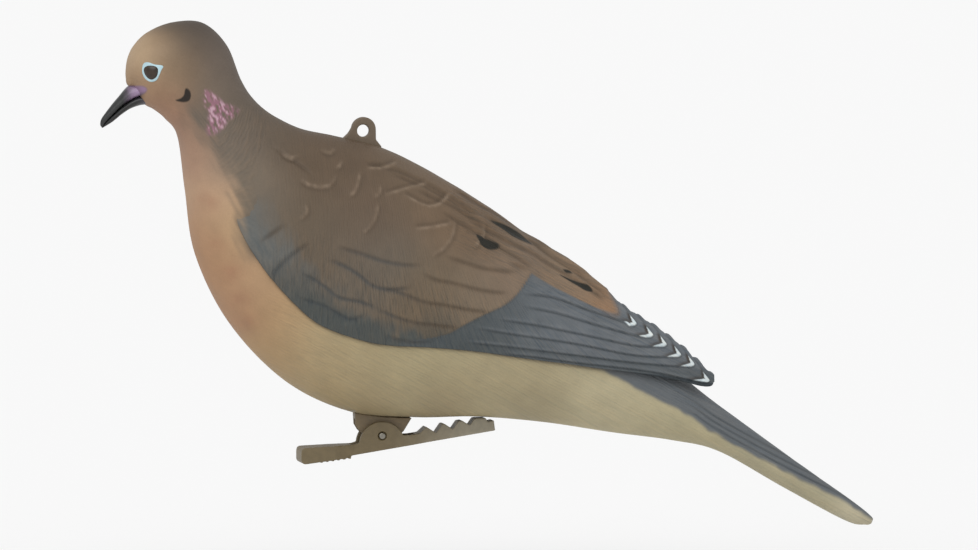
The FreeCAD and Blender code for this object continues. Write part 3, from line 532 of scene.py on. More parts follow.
def body_paint(flank):
    x, z = flank.x, flank.z
    colour = blend_colours(x, z, BREAST_COLOUR_AND_SHADE)
    for place_x, place_z in BLOTCHES:
        near = bump(np.hypot(x - place_x, z - place_z), BLOTCH_REACH)
        colour = laid(colour, (BLOTCH, 0.35 * near * (0.5 + 0.8 * noise(x, z, 2.2))))
    brown = (neck_brown(flank) * ease(-x, 50, 58))[..., None]
    colour = colour * (1 - brown) + blend_colours(x, z, BACK_COLOUR_AND_SHADE) * brown
    ragged = flank.tail + 0.8 * (noise(x, z, 3) - 0.5)
    on_tail = ease(ragged, -0.8, 0.8) * ease(x, 40, 48)
    # Slate lines in the tail's grooves: dark paint, with painted shade in each groove.
    grooves = [(SLATE_LINE_AND_SHADE, 0.55 * on_tail * ease(x, 84, 94) * bump(flank.tail - offset, 0.4))
               for offset in TAIL_GROOVES]
    under_wing = bump(flank.wing + 0.1, 0.55) * ease(x, -68, -58) * ease(x, 60, 50)
    colour = laid(colour, (TAIL_GREY, on_tail), (RUMP_GREY, on_tail * ease(z - 0.1 * x, 8, 30)),
                  *grooves, (EDGE_SHADE, 0.6 * under_wing))
    return neck_marks(colour, flank)


def wing_paint(flank, feathers, tips, primaries):
    x, z = flank.x, flank.z
    # Blue-grey along the fold of the wing, fading up into the brown.
    drift = flank.wing + 6 * (noise(x, z, 6) - 0.5) + 2.5 * (noise(x * 2, z * 0.5, 1.6) - 0.5)
    band = 15 - 9 * ease(x, -50, -12)
    bend = ease(drift, 1.15 * band, 0.3 * band) * ease(z, 84, 74)
    high = ease(z, 42, 64)
    # The tertials end crisply below and fade into the blue behind.
    softness = 0.22 + 1.8 * ease(x, 52, 62)
    blue = ease(-flank.brown / softness, -1, 1) * ease(x, -22, -4)
    # Under each covert lies a groove, darkened by a line of dark paint and by painted shade: slate on
    # the blue and umber on the brown.
    groove = np.zeros(x.shape)
    for signed, along, length in feathers:
        groove = np.maximum(groove, end_fade(along, length, 6) * bump(signed + 0.4, 0.75))
    slate = np.maximum(blue, ease(-x, 2, 26) * ease(70 - z, 0, 14))
    colour = laid(
        blend_colours(x, z, BACK_COLOUR_AND_SHADE),
        (SHOULDER_BLUE, 0.85 * bend * high), (BEND_BLUE, 0.9 * bend * (1 - high)),
        (BLUE_GREY, blue), (BLUE_PALE, 0.8 * blue * noise(x, z * 3, 5) * ease(x, 10, 50)),
        (BLUE_FRONT, 0.85 * blue * ease(x, 40, 5)),
        (BLUE_FRONT, 0.6 * blue * ease(flank.wing, 8, 1)),
        (SLATE_LINE_AND_SHADE, 0.6 * groove * slate), (UMBER_LINE_AND_SHADE, 0.5 * groove * (1 - slate)))
    # Along each primary's edge: a slate line of dark paint with painted shade in its groove, and a
    # paler line just above it on the lip, a painted highlight.
    for signed, fade, past in primaries:
        clear = 1 - 0.6 * ease(past, -9, -3)
        colour = laid(colour, (SLATE_LINE_AND_SHADE, 0.7 * clear * blue * fade * bump(signed + 0.2, 0.4)),
                      (BLUE_PALE, 0.4 * blue * fade * bump(signed - 0.7, 0.5)))
    # Beside each pale lip of the back, an umber line of dark paint with painted shade in its groove.
    broken = 0.25 + 1.1 * noise(x, z, 1.3)
    for signed, along, length in tips:
        fade = end_fade(along, length, 2.5)
        colour = laid(colour, (UMBER_LINE_AND_SHADE, 0.4 * fade * bump(signed + 0.9, 0.7)),
                      (PALE_TIP, 0.5 * fade * broken * bump(signed - 0.1, 0.55)))
    # Painted shade along the wing's lower edge: brown in front, and dark slate under the blade's rim
    # behind.
    low_edge_shade = ease(flank.wing, 0.5, 0) * (1 - flank.front)
    spots = [(SPOT_BLACK, patch(x, z, outline, -0.18, 0.15) * flank.facing) for outline in SPOTS]
    return laid(crescents(colour, blue, primaries),
                (EDGE_SHADE, 0.7 * low_edge_shade * ease(x, 66, 56)),
                (UNDERSIDE_SHADE, 0.9 * low_edge_shade * ease(x, 56, 66)), *spots)


def crescents(colour, blue, primaries):
    """White edges round the tips of the primaries, with a dark band inside each."""
    before, after = CRESCENT_REACH
    for number, (signed, _, past) in enumerate(primaries):
        grown = LAST_GROWN if number == len(primaries) - 1 else 1
        share = np.where(past < 0, -past / (before * grown), past / after)
        width = CRESCENT_WIDTH * grown * np.clip(1 - share, 0, 1) ** 0.85
        near = ease(1.4 - share, 0, 0.5) * (0.7 + 0.3 * ease(past, -3.5, 0))
        rim = near * (1 - ease(signed, width + 0.6, width + 1.5))
        white = (width > 0) * ease(width - signed, -0.1, 0.12)
        inside = ease(signed, 0, 0.2) * blue
        colour = laid(colour, (CRESCENT_RIM, 0.85 * inside * rim), (CRESCENT_WHITE, inside * white))
    return colour


def strokes(flank):
    """Distances across two families of fine strokes: upright, leaning back, and lengthwise."""
    x, z = flank.x, flank.z
    return x + np.interp(x, *zip(*STROKE_LEAN)) * (z - STROKE_LEVEL), z + GRAIN_SLOPE * x


def stroke_depths(flank, part):
    """How deep each family of strokes is, from 0 to 1."""
    x, z = flank.x, flank.z
    back = ease(z + 0.6 * x, 58, 70)
    if part == "wing":
        upright = 0.8 - 0.62 * ease(z + 0.25 * x, 38, 62)
        upright *= 1 - 0.9 * back * ease(x, -5, 10)
        upright *= 1 - 0.35 * ease(x, 60, 75)
        return upright, 0.8 * back * ease(x, -8, 12)
    neck = neck_brown(flank) * ease(z, 66, 74) * ease(z, 120, 108)
    belly = 0.35 * ease(flank.tail, 0, -1) * ease(x, -70, -50)
    tail = 0.6 * ease(flank.tail, 0, 0.5) * ease(x, 60, 80)
    return 0.45 * neck, np.maximum(belly, tail)


# --- meshes

def add_piece(name, points, faces, material, replaced=()):
    """A painted piece of the bird, from points in millimetres."""
    mesh = bpy.data.meshes.new(name)
    mesh.from_pydata((points * MM).tolist(), [], faces)
    return add_object(name, mesh, "decoy", replaced, material)


def new_object(name, data):
    made = bpy.data.objects.new(name, data)
    bpy.context.scene.collection.objects.link(made)
    return made


def add_object(name, mesh, body, replaced, material):
    """A smooth piece of one material, riding on a body."""
    mesh.materials.clear()
    mesh.materials.append(material)
    mesh.polygons.foreach_set("use_smooth", [True] * len(mesh.polygons))
    piece = new_object(name, mesh)
    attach(piece, body)
    if replaced:
        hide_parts(*replaced)
    return piece


def store_paint(pair, colour, stroke, depth):
    """Keep the paint and the feather strokes as attributes of the meshes' points."""
    opaque = np.concatenate([np.clip(colour, 0, 1), np.ones(colour.shape[:-1] + (1,))], axis=-1)
    for mesh in (piece.data for piece in pair):
        layer = mesh.color_attributes.new("paint", "FLOAT_COLOR", "POINT")
        layer.data.foreach_set("color", opaque.reshape(-1).astype(np.float32))
        for name, values in zip(("stroke", "grain", "stroke_depth", "grain_depth"), stroke + depth):
            layer = mesh.attributes.new(name, "FLOAT", "POINT")
            layer.data.foreach_set("value", values.reshape(-1).astype(np.float32))


def grid_faces(rows, columns, closed=False):
    """Quads of a grid of points stored row by row; closed joins the last column to the first."""
    count = columns if closed else columns - 1
    row, column = np.meshgrid(np.arange(rows - 1), np.arange(count), indexing="ij")
    a = row * columns + column
    b = row * columns + (column + 1) % columns
    return np.stack([a, b, b + columns, a + columns], axis=-1).reshape(-1, 4).tolist()


def end_caps(rows, columns):
    """Faces over the first and the last row of a grid."""
    return [list(range(columns)), list(range((rows - 1) * columns, rows * columns))[::-1]]


def closed_sheet_faces(rows, columns):
    """Faces of a grid closed behind: chords from each row's start to its end, and two end caps."""
    faces = grid_faces(rows, columns)
    for first in range(0, (rows - 1) * columns, columns):
        following = first + columns
        faces.append([first, following, following + columns - 1, first + columns - 1])
    return faces + end_caps(rows, columns)


def normals_of(grid):
    """Unit normals of a +Y side grid, pointing outwards."""
    normal = np.cross(np.gradient(grid, axis=0), np.gradient(grid, axis=1))
    normal /= np.maximum(np.linalg.norm(normal, axis=-1, keepdims=True), 1e-9)
    middle = normal[grid.shape[0] // 2, grid.shape[1] // 2]
    return normal if middle[1] > 0 else -normal


def row_places(first, last, count, density):
    """Ring numbers for the rows of a mesh, evenly spread along the body times a density."""
    fine = np.linspace(first, last, DENSITY_STEPS)
    rings = spline(BODY_RINGS, fine)
    tops, lows = np.diff(rings[:, 0:2], axis=0), np.diff(rings[:, 2:4], axis=0)
    step = 0.5 * (np.hypot(*tops.T) + np.hypot(*lows.T)) * np.interp(fine[1:], *zip(*density))
    gone = np.concatenate([[0], np.cumsum(step)])
    return np.interp(np.linspace(0, gone[-1], count), gone, fine)


def stacked(x, y, z):
    return np.stack(np.broadcast_arrays(x, y, z), axis=-1)


def columns_of(table, where):
    """The columns of the smooth curve through a table's rows, each one upright."""
    return [column[:, None] for column in spline(table, where).T]


def skin(where, angle):
    """Points of the plain body: one row for each ring number, at angles from the top down."""
    top_x, top_z, low_x, low_z, half_width = columns_of(BODY_RINGS, where)
    up = np.cos(angle)
    return stacked((top_x + low_x) / 2 + (top_x - low_x) / 2 * up,
                   np.maximum(half_width, 0.3) * np.sin(angle),
                   (top_z + low_z) / 2 + (top_z - low_z) / 2 * up)


def mirrored_pair(name, grid, faces, material, node=None):
    """The left and right pieces of a closed sheet, which may replace the two CAD nodes."""
    pieces = []
    for label, side in SIDES:
        points = grid.reshape(-1, 3) * (1, side, 1)
        turned = [face[::-1] for face in faces] if side < 0 else faces
        replaced = (f"{label}_{node}",) if node else ()
        pieces.append(add_piece(f"{label}_{name}", points, turned, material, replaced))
    return pieces


def make_body(material):
    """The two moulded halves: the painted outside, closed by the flat face of the seam."""
    where = row_places(0, len(BODY_RINGS) - 1, BODY_ROWS, BODY_DENSITY)
    grid = skin(where, np.linspace(0, math.pi, BODY_COLUMNS)[None, :])
    normal = normals_of(grid)
    flank = Flank(grid, normal)
    sink = HIDDEN_DEPTH * ease(flank.wing, 10, 20) * ease(flank.x, 50, 38)
    under_blade = ease(flank.x, 6, 20) * ease(flank.x, 86, 72)
    sink += BLADE_ROOM * ease(flank.wing, 3, 9) * under_blade
    height = body_relief(flank) * (0.25 + 0.75 * flank.facing) - sink
    outside = grid + normal * (height - seam_groove(grid))[..., None]
    outside[:, (0, -1), 1] = SEAM_GAP
    faces = closed_sheet_faces(BODY_ROWS, BODY_COLUMNS)
    pair = mirrored_pair("body_half", outside, faces, material, "shell")
    store_paint(pair, body_paint(flank), strokes(flank), stroke_depths(flank, "body"))
    return outside


def wing_floor_angles(where):
    """The angle at which each ring of the body crosses the edge of the wing."""
    angle = np.linspace(0, math.pi, ANGLE_STEPS)
    grid = skin(where, angle[None, :])
    signed = line_distance(grid[..., 0], grid[..., 2], WING_CURVE)[0]
    below = signed < 0
    below[:, :2] = False
    first = np.where(below.any(axis=1), below.argmax(axis=1), ANGLE_IF_NONE)
    rows = np.arange(len(where))
    high, low = signed[rows, first - 1], signed[rows, first]
    part = np.clip(high / np.maximum(high - low, 1e-6), 0, 1)
    return angle[first - 1] + part * (angle[1] - angle[0])


def blade_rows(x, across):
    """Points of the free blade of the wing at the given x, from its upper to its lower edge."""
    number = np.interp(x, BLADE_EDGES[:, 0], np.arange(len(BLADE_EDGES)))
    edge_x, top_y, top_z, low_y, low_z, bulge = columns_of(BLADE_EDGES, number)
    # Feather tips make small scallops along the upper edge.
    wave = np.sin(2 * math.pi * (x - PRIMARY_TIPS[0][0]) / TIP_SPACING) * ease(x, 56, 64)
    scallop = SCALLOP_HEIGHT * wave[:, None] * np.exp(-across / SCALLOP_DEPTH)
    out = bulge * 4 * across * (1 - across)
    return stacked(edge_x, top_y * (1 - across) + low_y * across + out,
                   top_z * (1 - across) + low_z * across + scallop)


def repeat_last(values):
    """The values of a grid with its last column once more, for the wall behind the rim."""
    return np.concatenate([values, values[:, -1:]], axis=1)


def make_wings(material):
    """The folded wings: they follow the body from the shoulder, then stand clear as blades."""
    where = row_places(*WING_RINGS, WING_ROWS, WING_DENSITY)[::-1]
    low = wing_floor_angles(where)
    even = np.linspace(0, 1 - RIM_SHARE, WING_COLUMNS - len(RIM_STEPS))
    across = np.concatenate([even, 1 - RIM_SHARE * RIM_STEPS])[None, :]
    on_body = skin(where, across * low[:, None])
    top_x = spline(BODY_RINGS, where)[:, 0]
    blade = blade_rows(np.clip(top_x, BLADE_EDGES[0, 0], BLADE_EDGES[-1, 0]), across)
    share = ease(top_x, *BLADE_PART)[:, None, None]
    grid = on_body * (1 - share) + blade * share
    normal = normals_of(grid)
    flank = Flank(grid, normal)
    lines = (edge_measures(flank, FEATHER_LINES), edge_measures(flank, PALE_TIPS),
             primary_measures(flank))
    bound = 1 - share[..., 0]
    height = wing_relief(flank, *lines) * (0.2 + 0.8 * flank.facing)
    height += (wing_lift(flank) - seam_groove(grid)) * bound
    reach = np.cumsum(np.linalg.norm(np.diff(grid, axis=1, prepend=grid[:, :1]), axis=-1), axis=1)
    # Both edges of the blade are rounded, but only the lower one where the wing lies on the body.
    for gap in (reach[:, -1:] - reach, reach + 20 * RIM_RADIUS * bound):
        edge = 1 - np.clip(gap / RIM_RADIUS, 0, 1)
        height -= RIM_RADIUS * (1 - np.sqrt(1 - edge ** 2))
    outside = grid + normal * height[..., None]
    top_y = outside[:, 0, 1]
    outside[:, 0, 1] = np.maximum(top_y, SEAM_GAP) * (1 - bound[:, 0]) + SEAM_GAP * bound[:, 0]
    outside = np.concatenate([outside, outside[:, -1:] - normal[:, -1:] * WING_WALL], axis=1)
    faces = [face[::-1] for face in closed_sheet_faces(WING_ROWS, WING_COLUMNS + 1)]
    pair = mirrored_pair("wing", outside, faces, material)
    # Where the wing sinks into the neck, it is painted as the neck is.
    fade = (flank.front * (1 - neck_brown(flank)))[..., None]
    colour = wing_paint(flank, *lines) * (1 - fade)
    colour += blend_colours(flank.x, flank.z, BREAST_COLOUR_AND_SHADE) * fade
    stroke, depth = (tuple(map(repeat_last, values))
                     for values in (strokes(flank), stroke_depths(flank, "wing")))
    store_paint(pair, repeat_last(colour), stroke, depth)


# --- eyes and beak

def local_surface(outside, centre, reach):
    """A smooth function y(x, z) fitted to the bird's surface near a place on its flank."""
    points = outside.reshape(-1, 3)
    near = np.hypot(points[:, 0] - centre[0], points[:, 2] - centre[1]) < reach
    near &= points[:, 1] > 3

    def terms(x, z):
        return np.stack([x ** i * z ** j for i in range(FIT_ORDER + 1)
                         for j in range(FIT_ORDER + 1 - i)], axis=-1)

    x, z = points[near, 0] - centre[0], points[near, 2] - centre[1]
    fit = np.linalg.lstsq(terms(x, z), points[near, 1], rcond=None)[0]
    return lambda x, z: terms(x - centre[0], z - centre[1]) @ fit


def button(name, outline, surface, profile, material):
    """A raised closed form over each eye: rings of the outline, shrunk and raised by profile."""
    loop = smooth_loop(outline, LOOP_STEPS)
    rings = []
    for scale, height in profile:
        x, z = (EYE_CENTRE + loop * scale).T
        rings.append(stacked(x, surface(x, z) + height, z))
    grid = np.stack(rings)
    faces = grid_faces(*grid.shape[:2], closed=True) + end_caps(*grid.shape[:2])
    for piece in mirrored_pair(name, grid, faces, material):
        face_outwards(piece)


def dome(rise, steps):
    """Profile of a dome: a sunk skirt, then rings that close in as they rise."""
    turns = [step / steps * math.pi / 2 for step in range(steps)]
    return [(1, SKIRT)] + [(max(math.cos(turn), 0.02), rise * math.sin(turn)) for turn in turns]


def make_eyes(outside, lid_material, eye_material):
    surface = local_surface(outside, EYE_CENTRE, EYE_SURROUND)
    button("eyelid", LID_OUTLINE, surface, LID_PROFILE, lid_material)
    button("eye", EYE_OUTLINE, surface, dome(EYE_RISE, EYE_RINGS), eye_material)


# Side view of the beak: its ridge, its mouth, its lower edge, and its half width.
BEAK_TOP = [
    (-103.4, 119.9), (-107, 119.9), (-110.3, 118.8), (-113.6, 115.1), (-115.8, 112.5),
    (-117.8, 109.9), (-119.6, 107.3), (-120, 105.3), (-119.4, 104.2),
]
BEAK_MOUTH = [
    (-103.3, 115.2), (-106.4, 115.3), (-109.6, 113.9), (-112.6, 111.6), (-114.6, 109.7),
    (-116.4, 107.9), (-117.9, 106.3), (-118.8, 105.1), (-119.1, 104.2),
]
BEAK_LOW = [
    (-103.6, 112.4), (-106.2, 112.1), (-109.5, 110.9), (-112.4, 109), (-114.2, 107.5),
    (-115.7, 106.3), (-116.9, 105.5), (-117.9, 104.9), (-118.6, 104.5),
]
BEAK_WIDTH = [5.6, 5.2, 4.4, 3.4, 2.7, 2.1, 1.5, 1, 0.4]
# Each half: its edges, its share of the width, and where in metres its base colour starts and ends.
BEAK_HALVES = (("upper", BEAK_TOP, BEAK_MOUTH, 1, -0.1125, -0.1072, UPPER_HORN, UPPER_BASE),
               ("lower", BEAK_MOUTH, BEAK_LOW, 0.92, -0.108, -0.103, LOWER_HORN, LOWER_BASE))
BEAK_RINGS, BEAK_SIDES = 90, 48


def make_beak():
    """Two tapering closed tubes between the curves of the beak's side view."""
    angle = np.linspace(0, 2 * math.pi, BEAK_SIDES, endpoint=False)
    rise = 0.5 + 0.5 * np.cos(angle)
    faces = grid_faces(BEAK_RINGS, BEAK_SIDES, closed=True) + end_caps(BEAK_RINGS, BEAK_SIDES)
    for half, upper, lower, broad, start, reach, horn, base in BEAK_HALVES:
        where = np.linspace(0, len(upper) - 1, BEAK_RINGS)
        high, low = spline(upper, where), spline(lower, where)
        width = broad * spline(np.array(BEAK_WIDTH)[:, None], where)
        # Each tube is broadest at the mouth and narrows towards its outer ridge.
        outward = rise if half == "upper" else 1 - rise
        shape = np.sign(np.sin(angle)) * np.abs(np.sin(angle)) ** 0.75 * (1 - 0.3 * outward)
        x, z = (low[:, axis:axis + 1] + (high - low)[:, axis:axis + 1] * rise for axis in (0, 1))
        points = stacked(x, width * shape, z).reshape(-1, 3)
        material = beak_paint(f"{half}_beak_paint", start, reach, horn, base)
        face_outwards(add_piece(f"{half}_beak", points, faces, material))


def face_outwards(piece):
    """Turn every face of a closed piece outwards."""
    work = bmesh.new()
    work.from_mesh(piece.data)
    bmesh.ops.recalc_face_normals(work, faces=work.faces)
    work.to_mesh(piece.data)
    work.free()


# --- moulded clip, tab and spring

def softened(node, name, body, material, voxel, passes):
    """A copy of a CAD piece with the small rounded edges that moulding gives it."""
    source = new_object(name, frame["nodes"][node].data.copy())
    remesh = source.modifiers.new("remesh", "REMESH")
    remesh.mode = "VOXEL"
    remesh.voxel_size = voxel * MM
    soften = source.modifiers.new("soften", "SMOOTH")
    soften.factor = 0.5
    soften.iterations = passes
    return taken_mesh(source, name, body, (node,), material)


def taken_mesh(source, name, body, replaced, material):
    """A piece from the evaluated mesh of a helper object, which goes."""
    graph = bpy.context.evaluated_depsgraph_get()
    mesh = bpy.data.meshes.new_from_object(source.evaluated_get(graph))
    bpy.data.objects.remove(source)
    mesh.name = name
    return add_object(name, mesh, body, replaced, material)


PIVOT = next(np.array(joint["pos_m"]) for joint in frame["joints"]
             if joint["name"] == "clip_pivot") / MM


def wire(name, points, radius, body, material, replaced=()):
    """A round wire along a line of points, with closed ends."""
    curve = bpy.data.curves.new(name, "CURVE")
    curve.dimensions = "3D"
    curve.bevel_depth = radius * MM
    curve.bevel_resolution = 4
    curve.use_fill_caps = True
    line = curve.splines.new("POLY")
    line.points.add(len(points) - 1)
    for point, place in zip(line.points, points):
        point.co = (*(np.asarray(place) * MM), 1)
    return taken_mesh(new_object(name, curve), name, body, replaced, material)


def spring(material):
    """The coil and its fixed leg stay with the bird; its other leg swings with the lever."""
    radius, thick, turns, length, steps = 1.95, 0.4, 3 + 1 / 3, 2.8, 140
    fixed_leg, free_leg = 6.6, 4.2
    rise = math.radians(18)
    angles = math.pi / 2 - rise - np.linspace(turns * 2 * math.pi, 0, steps)
    across = np.linspace(length / 2, -length / 2, steps)
    coil = stacked(PIVOT[0] + radius * np.cos(angles), across, PIVOT[2] + radius * np.sin(angles))
    end = coil[-1] + fixed_leg * np.array([-math.cos(rise), 0, math.sin(rise)])
    wire("spring_coil", np.vstack([coil, end]), thick, "decoy", material, ("torsion_spring",))
    outward = np.array([math.sin(angles[0]), 0, -math.cos(angles[0])])
    leg = [coil[0] - thick * outward, coil[0] + free_leg * outward]
    wire("spring_leg", leg, thick, "lever", material)


# --- materials

# Height of the fine grain of paint and plastic, in metres.
FINE_GRAIN = 0.00012
# Feather strokes: their breadth over their length, and the tints of their grooves and ridges.
STROKE_STRETCH = 0.16
GROOVE_TINT, RIDGE_TINT = (0.76, 0.83, 0.9, 1), (1.24, 1.17, 1.1, 1)


def rgba(colour, share=1.0):
    return (*(linear(colour) * share), 1)


class Look:
    """A material, with short ways to add nodes to it."""

    def __init__(self, name):
        self.material = bpy.data.materials.new(name)
        self.material.use_nodes = True
        self.tree = self.material.node_tree
        self.inputs = self.tree.nodes["Principled BSDF"].inputs

    def node(self, kind, output, inputs=None, **settings):
        """One output of a new node, whose inputs are joined to others or set."""
        node = self.tree.nodes.new("ShaderNode" + kind)
        for key, value in settings.items():
            setattr(node, key, value)
        for key, value in (inputs or {}).items():
            if isinstance(value, bpy.types.NodeSocket):
                self.tree.links.new(value, node.inputs[key])
            else:
                node.inputs[key].default_value = value
        return node.outputs[output]

    def maths(self, operation, first, second=0.0):
        return self.node("Math", 0, {0: first, 1: second}, operation=operation)

    def times(self, first, second):
        return self.maths("MULTIPLY", first, second)

    def plus(self, first, second):
        return self.maths("ADD", first, second)

    def place(self):
        return self.node("TexCoord", "Object")

    def noise(self, vector, scale, detail):
        return self.node("TexNoise", "Fac", {"Vector": vector, "Scale": scale, "Detail": detail})

    def cloud(self, scale, detail):
        """Noise over the piece itself."""
        return self.noise(self.place(), scale, detail)

    def attribute(self, name, output="Fac"):
        return self.node("Attribute", output, attribute_name=name)

    def ranged(self, value, low, high):
        return self.node("MapRange", "Result", {"Value": value, "To Min": low, "To Max": high})

    def mixed(self, factor, first, second, blend="MIX"):
        return self.node("Mix", 2, {0: factor, 6: first, 7: second}, data_type="RGBA",
                         blend_type=blend)

    def shaded(self, colour, light):
        """The colour times a grey value."""
        grey = self.node("CombineColor", "Color", {"Red": light, "Green": light, "Blue": light})
        return self.mixed(1.0, colour, grey, "MULTIPLY")

    def bumped(self, height, distance, strength, under=None):
        """A normal bent by a height, over another bent normal if there is one."""
        inputs = {"Height": height, "Distance": distance, "Strength": strength}
        if under is not None:
            inputs["Normal"] = under
        return self.node("Bump", "Normal", inputs)

    def graded(self, low, high, wave_scale, wave):
        """0 to 1 along X between two places in metres, with a wavy front."""
        shift = self.times(self.plus(self.cloud(wave_scale, 3), -0.5), wave)
        value = self.plus(self.node("SeparateXYZ", "X", {"Vector": self.place()}), shift)
        return self.node("MapRange", "Result", {"Value": value, "From Min": low, "From Max": high},
                         interpolation_type="SMOOTHSTEP")

    def ridges(self, across, along, depth, period):
        """Uneven ridges about a period apart across one coordinate and long in the other."""
        wide, narrow = self.times(along, STROKE_STRETCH / period), self.times(across, 1 / period)
        vector = self.node("CombineXYZ", 0, {"X": narrow, "Y": wide})
        ragged = self.ranged(self.noise(vector, 1.1, 2), -1.9, 1.9)
        phase = self.plus(self.times(narrow, 2 * math.pi), self.times(self.cloud(260, 2), 11))
        combed = self.times(self.maths("SINE", phase), 0.3)
        return self.times(self.plus(ragged, combed), depth)

    def finished(self, colour, rough, normal, specular=None):
        """The material, once its main inputs are joined."""
        for name, socket in (("Base Color", colour), ("Roughness", rough), ("Normal", normal)):
            self.tree.links.new(socket, self.inputs[name])
        if specular is not None:
            self.inputs["Specular IOR Level"].default_value = specular
        return self.material


def feather_paint():
    """Matt airbrushed paint over moulded feather strokes, darker and bluer between them."""
    look = Look("feather_paint")
    stroke, lengthwise = look.attribute("stroke"), look.attribute("grain")
    ridges = look.plus(look.ridges(stroke, lengthwise, look.attribute("stroke_depth"), 0.95),
                       look.ridges(lengthwise, stroke, look.attribute("grain_depth"), 1.05))
    cloud, grain = look.cloud(130, 5), look.cloud(1500, 3)
    light = look.times(look.ranged(cloud, 0.86, 1.14), look.ranged(grain, 0.93, 1.07))
    # Darker and bluer in the grooves of the strokes, warmer and paler on their ridges.
    raised = look.plus(look.times(ridges, 0.5), 0.5)
    tint = look.mixed(raised, GROOVE_TINT, RIDGE_TINT)
    colour = look.mixed(1.0, look.shaded(look.attribute("paint", "Color"), light), tint, "MULTIPLY")
    normal = look.bumped(ridges, 0.0002, 1.0, look.bumped(grain, FINE_GRAIN, 0.5))
    return look.finished(colour, look.ranged(cloud, 0.5, 0.66), normal, 0.2)


def plain_paint(name, colour, rough):
    """One colour of paint or plastic, mottled and slightly grained."""
    look = Look(name)
    cloud = look.cloud(300, 4)
    return look.finished(
        look.mixed(cloud, rgba(colour, 0.8), rgba(colour, 1.2)),
        look.ranged(cloud, rough - 0.06, rough + 0.06),
        look.bumped(look.cloud(1500, 2), 0.0001, 0.6))


def beak_paint(name, start, reach, horn, base):
    """Black horn that turns violet towards the face."""
    look = Look(name)
    cloud = look.cloud(500, 3)
    colour = look.mixed(look.graded(start, reach, 700, 0.0016), rgba(horn), rgba(base))
    return look.finished(look.shaded(colour, look.ranged(cloud, 0.8, 1.2)),
                         look.ranged(cloud, 0.3, 0.45), look.bumped(cloud, FINE_GRAIN, 0.6))


def clip_plastic():
    """Brown moulded plastic, paler and greyer towards the jaw."""
    look = Look("clip_plastic")
    colour = look.mixed(look.graded(-0.02, 0.014, 200, 0.012), rgba(CLIP_BROWN), rgba(CLIP_PALE_GREY))
    return look.finished(
        look.shaded(colour, look.ranged(look.cloud(420, 4), 0.8, 1.2)),
        look.ranged(look.cloud(300, 2), 0.42, 0.6),
        look.bumped(look.cloud(1200, 3), FINE_GRAIN, 0.6))


def steel(name, colour, rough):
    look = Look(name)
    streak = look.node("Mapping", "Vector", {"Vector": look.place(), "Scale": (1, 0.15, 1)})
    tarnish = look.cloud(500, 4)
    look.inputs["Metallic"].default_value = 1.0
    return look.finished(
        look.mixed(tarnish, rgba(colour, 0.65), rgba(colour, 1.1)),
        look.ranged(tarnish, rough + 0.12, rough - 0.08),
        look.bumped(look.noise(streak, 2600, 3), 0.00004, 0.5))


def eye_gloss():
    """Dark brown glossy paint of the eye."""
    look = Look("eye_gloss")
    cloud = look.cloud(600, 2)
    return look.finished(look.mixed(cloud, rgba(EYE_DARK), rgba(EYE_BROWN)),
                         look.ranged(cloud, 0.3, 0.36), look.bumped(cloud, 0.00005, 0.3), 0.4)


# --- camera, floor and light

VIEW_AZIMUTH, VIEW_ELEVATION, VIEW_ROLL = -8.0, 3.0, 0.421
VIEW_DISTANCE = 6.0
FRAME_WIDTH = 0.3443
AIM_RIGHT, AIM_UP = 0.0183, 0.0524
FLOOR_LEVEL = -0.06
FLOOR_REACH = 40.0
FLOOR_COLOUR = (0.94, 0.94, 0.94, 1)
SKY_STRENGTH = 0.68
SUN_FROM, SUN_STRENGTH, SUN_SPREAD = (-0.45, -0.75, 0.8), 1.5, 50


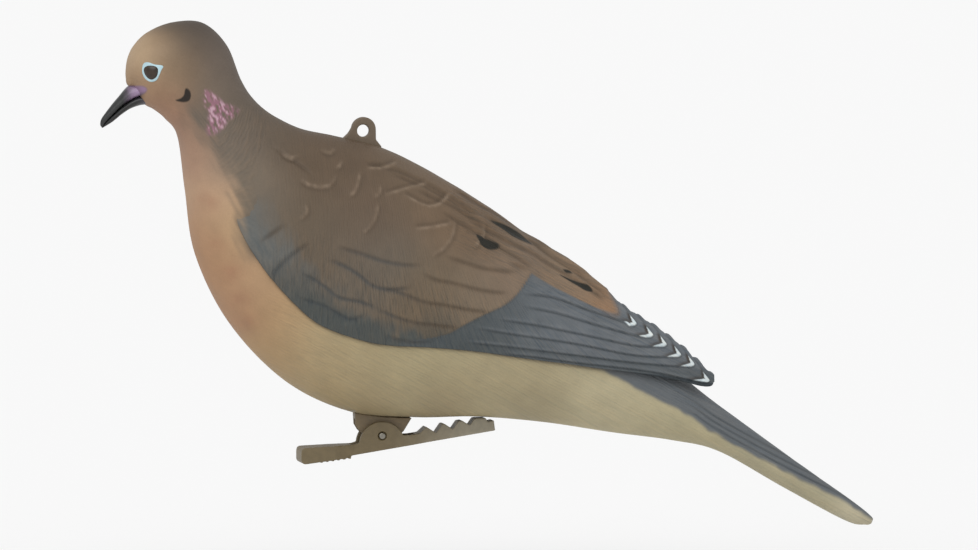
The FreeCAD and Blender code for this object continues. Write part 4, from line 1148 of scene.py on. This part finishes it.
def make_camera():
    azimuth, elevation = math.radians(VIEW_AZIMUTH), math.radians(VIEW_ELEVATION)
    level = math.cos(elevation)
    back = Vector((math.sin(azimuth) * level, -math.cos(azimuth) * level, math.sin(elevation)))
    turn = back.to_track_quat("Z", "Y") @ Quaternion((0, 0, 1), math.radians(VIEW_ROLL))
    right, up = turn @ Vector((1, 0, 0)), turn @ Vector((0, 1, 0))
    data = bpy.data.cameras.new("camera")
    data.sensor_width = 36
    data.lens = data.sensor_width * VIEW_DISTANCE / FRAME_WIDTH
    data.clip_end = 200
    camera = new_object("camera", data)
    camera.location = right * AIM_RIGHT + up * AIM_UP + back * VIEW_DISTANCE
    camera.rotation_euler = turn.to_euler()
    bpy.context.scene.camera = camera


def make_sun():
    """A broad soft light, like a large studio panel far away."""
    data = bpy.data.lights.new("key", "SUN")
    data.energy = SUN_STRENGTH
    data.angle = math.radians(SUN_SPREAD)
    new_object("key", data).rotation_euler = Vector(SUN_FROM).to_track_quat("Z", "Y").to_euler()


def make_floor():
    """A pale plain floor below the bird, which hangs clear of it."""
    mesh = bpy.data.meshes.new("floor")
    corners = [(x * FLOOR_REACH, y * FLOOR_REACH, FLOOR_LEVEL)
               for x, y in ((-1, -1), (1, -1), (1, 1), (-1, 1))]
    mesh.from_pydata(corners, [], [(0, 1, 2, 3)])
    look = Look("floor")
    look.inputs["Base Color"].default_value = FLOOR_COLOUR
    look.inputs["Roughness"].default_value = 1.0
    look.inputs["Specular IOR Level"].default_value = 0.0
    mesh.materials.append(look.material)
    new_object("floor", mesh)


def make_world():
    world = bpy.data.worlds.new("studio")
    world.use_nodes = True
    background = world.node_tree.nodes["Background"]
    background.inputs["Color"].default_value = (1, 1, 1, 1)
    background.inputs["Strength"].default_value = SKY_STRENGTH
    bpy.context.scene.world = world


def main():
    bpy.context.scene.view_settings.view_transform = "Standard"
    make_camera()
    feathers = feather_paint()
    outside = make_body(feathers)
    make_wings(feathers)
    make_eyes(outside, plain_paint("eyelid_paint", LID_BLUE, 0.45), eye_gloss())
    make_beak()
    softened("clip_lever", "moulded_lever", "lever", clip_plastic(),
             voxel=0.22, passes=4)
    softened("clip_bracket", "moulded_bracket", "decoy",
             plain_paint("bracket_plastic", BRACKET_BROWN, 0.52), voxel=0.25, passes=3)
    softened("hang_tab", "moulded_tab", "decoy",
             plain_paint("tab_paint", TAB_BROWN, 0.56), voxel=0.22, passes=8)
    bright = steel("zinc_steel", ZINC, 0.34)
    spring(bright)
    for node in ("hinge_pin", "bracket_screws"):
        data = frame["nodes"][node].data
        data.materials.clear()
        data.materials.append(bright)
    make_floor()
    make_world()
    make_sun()


main()
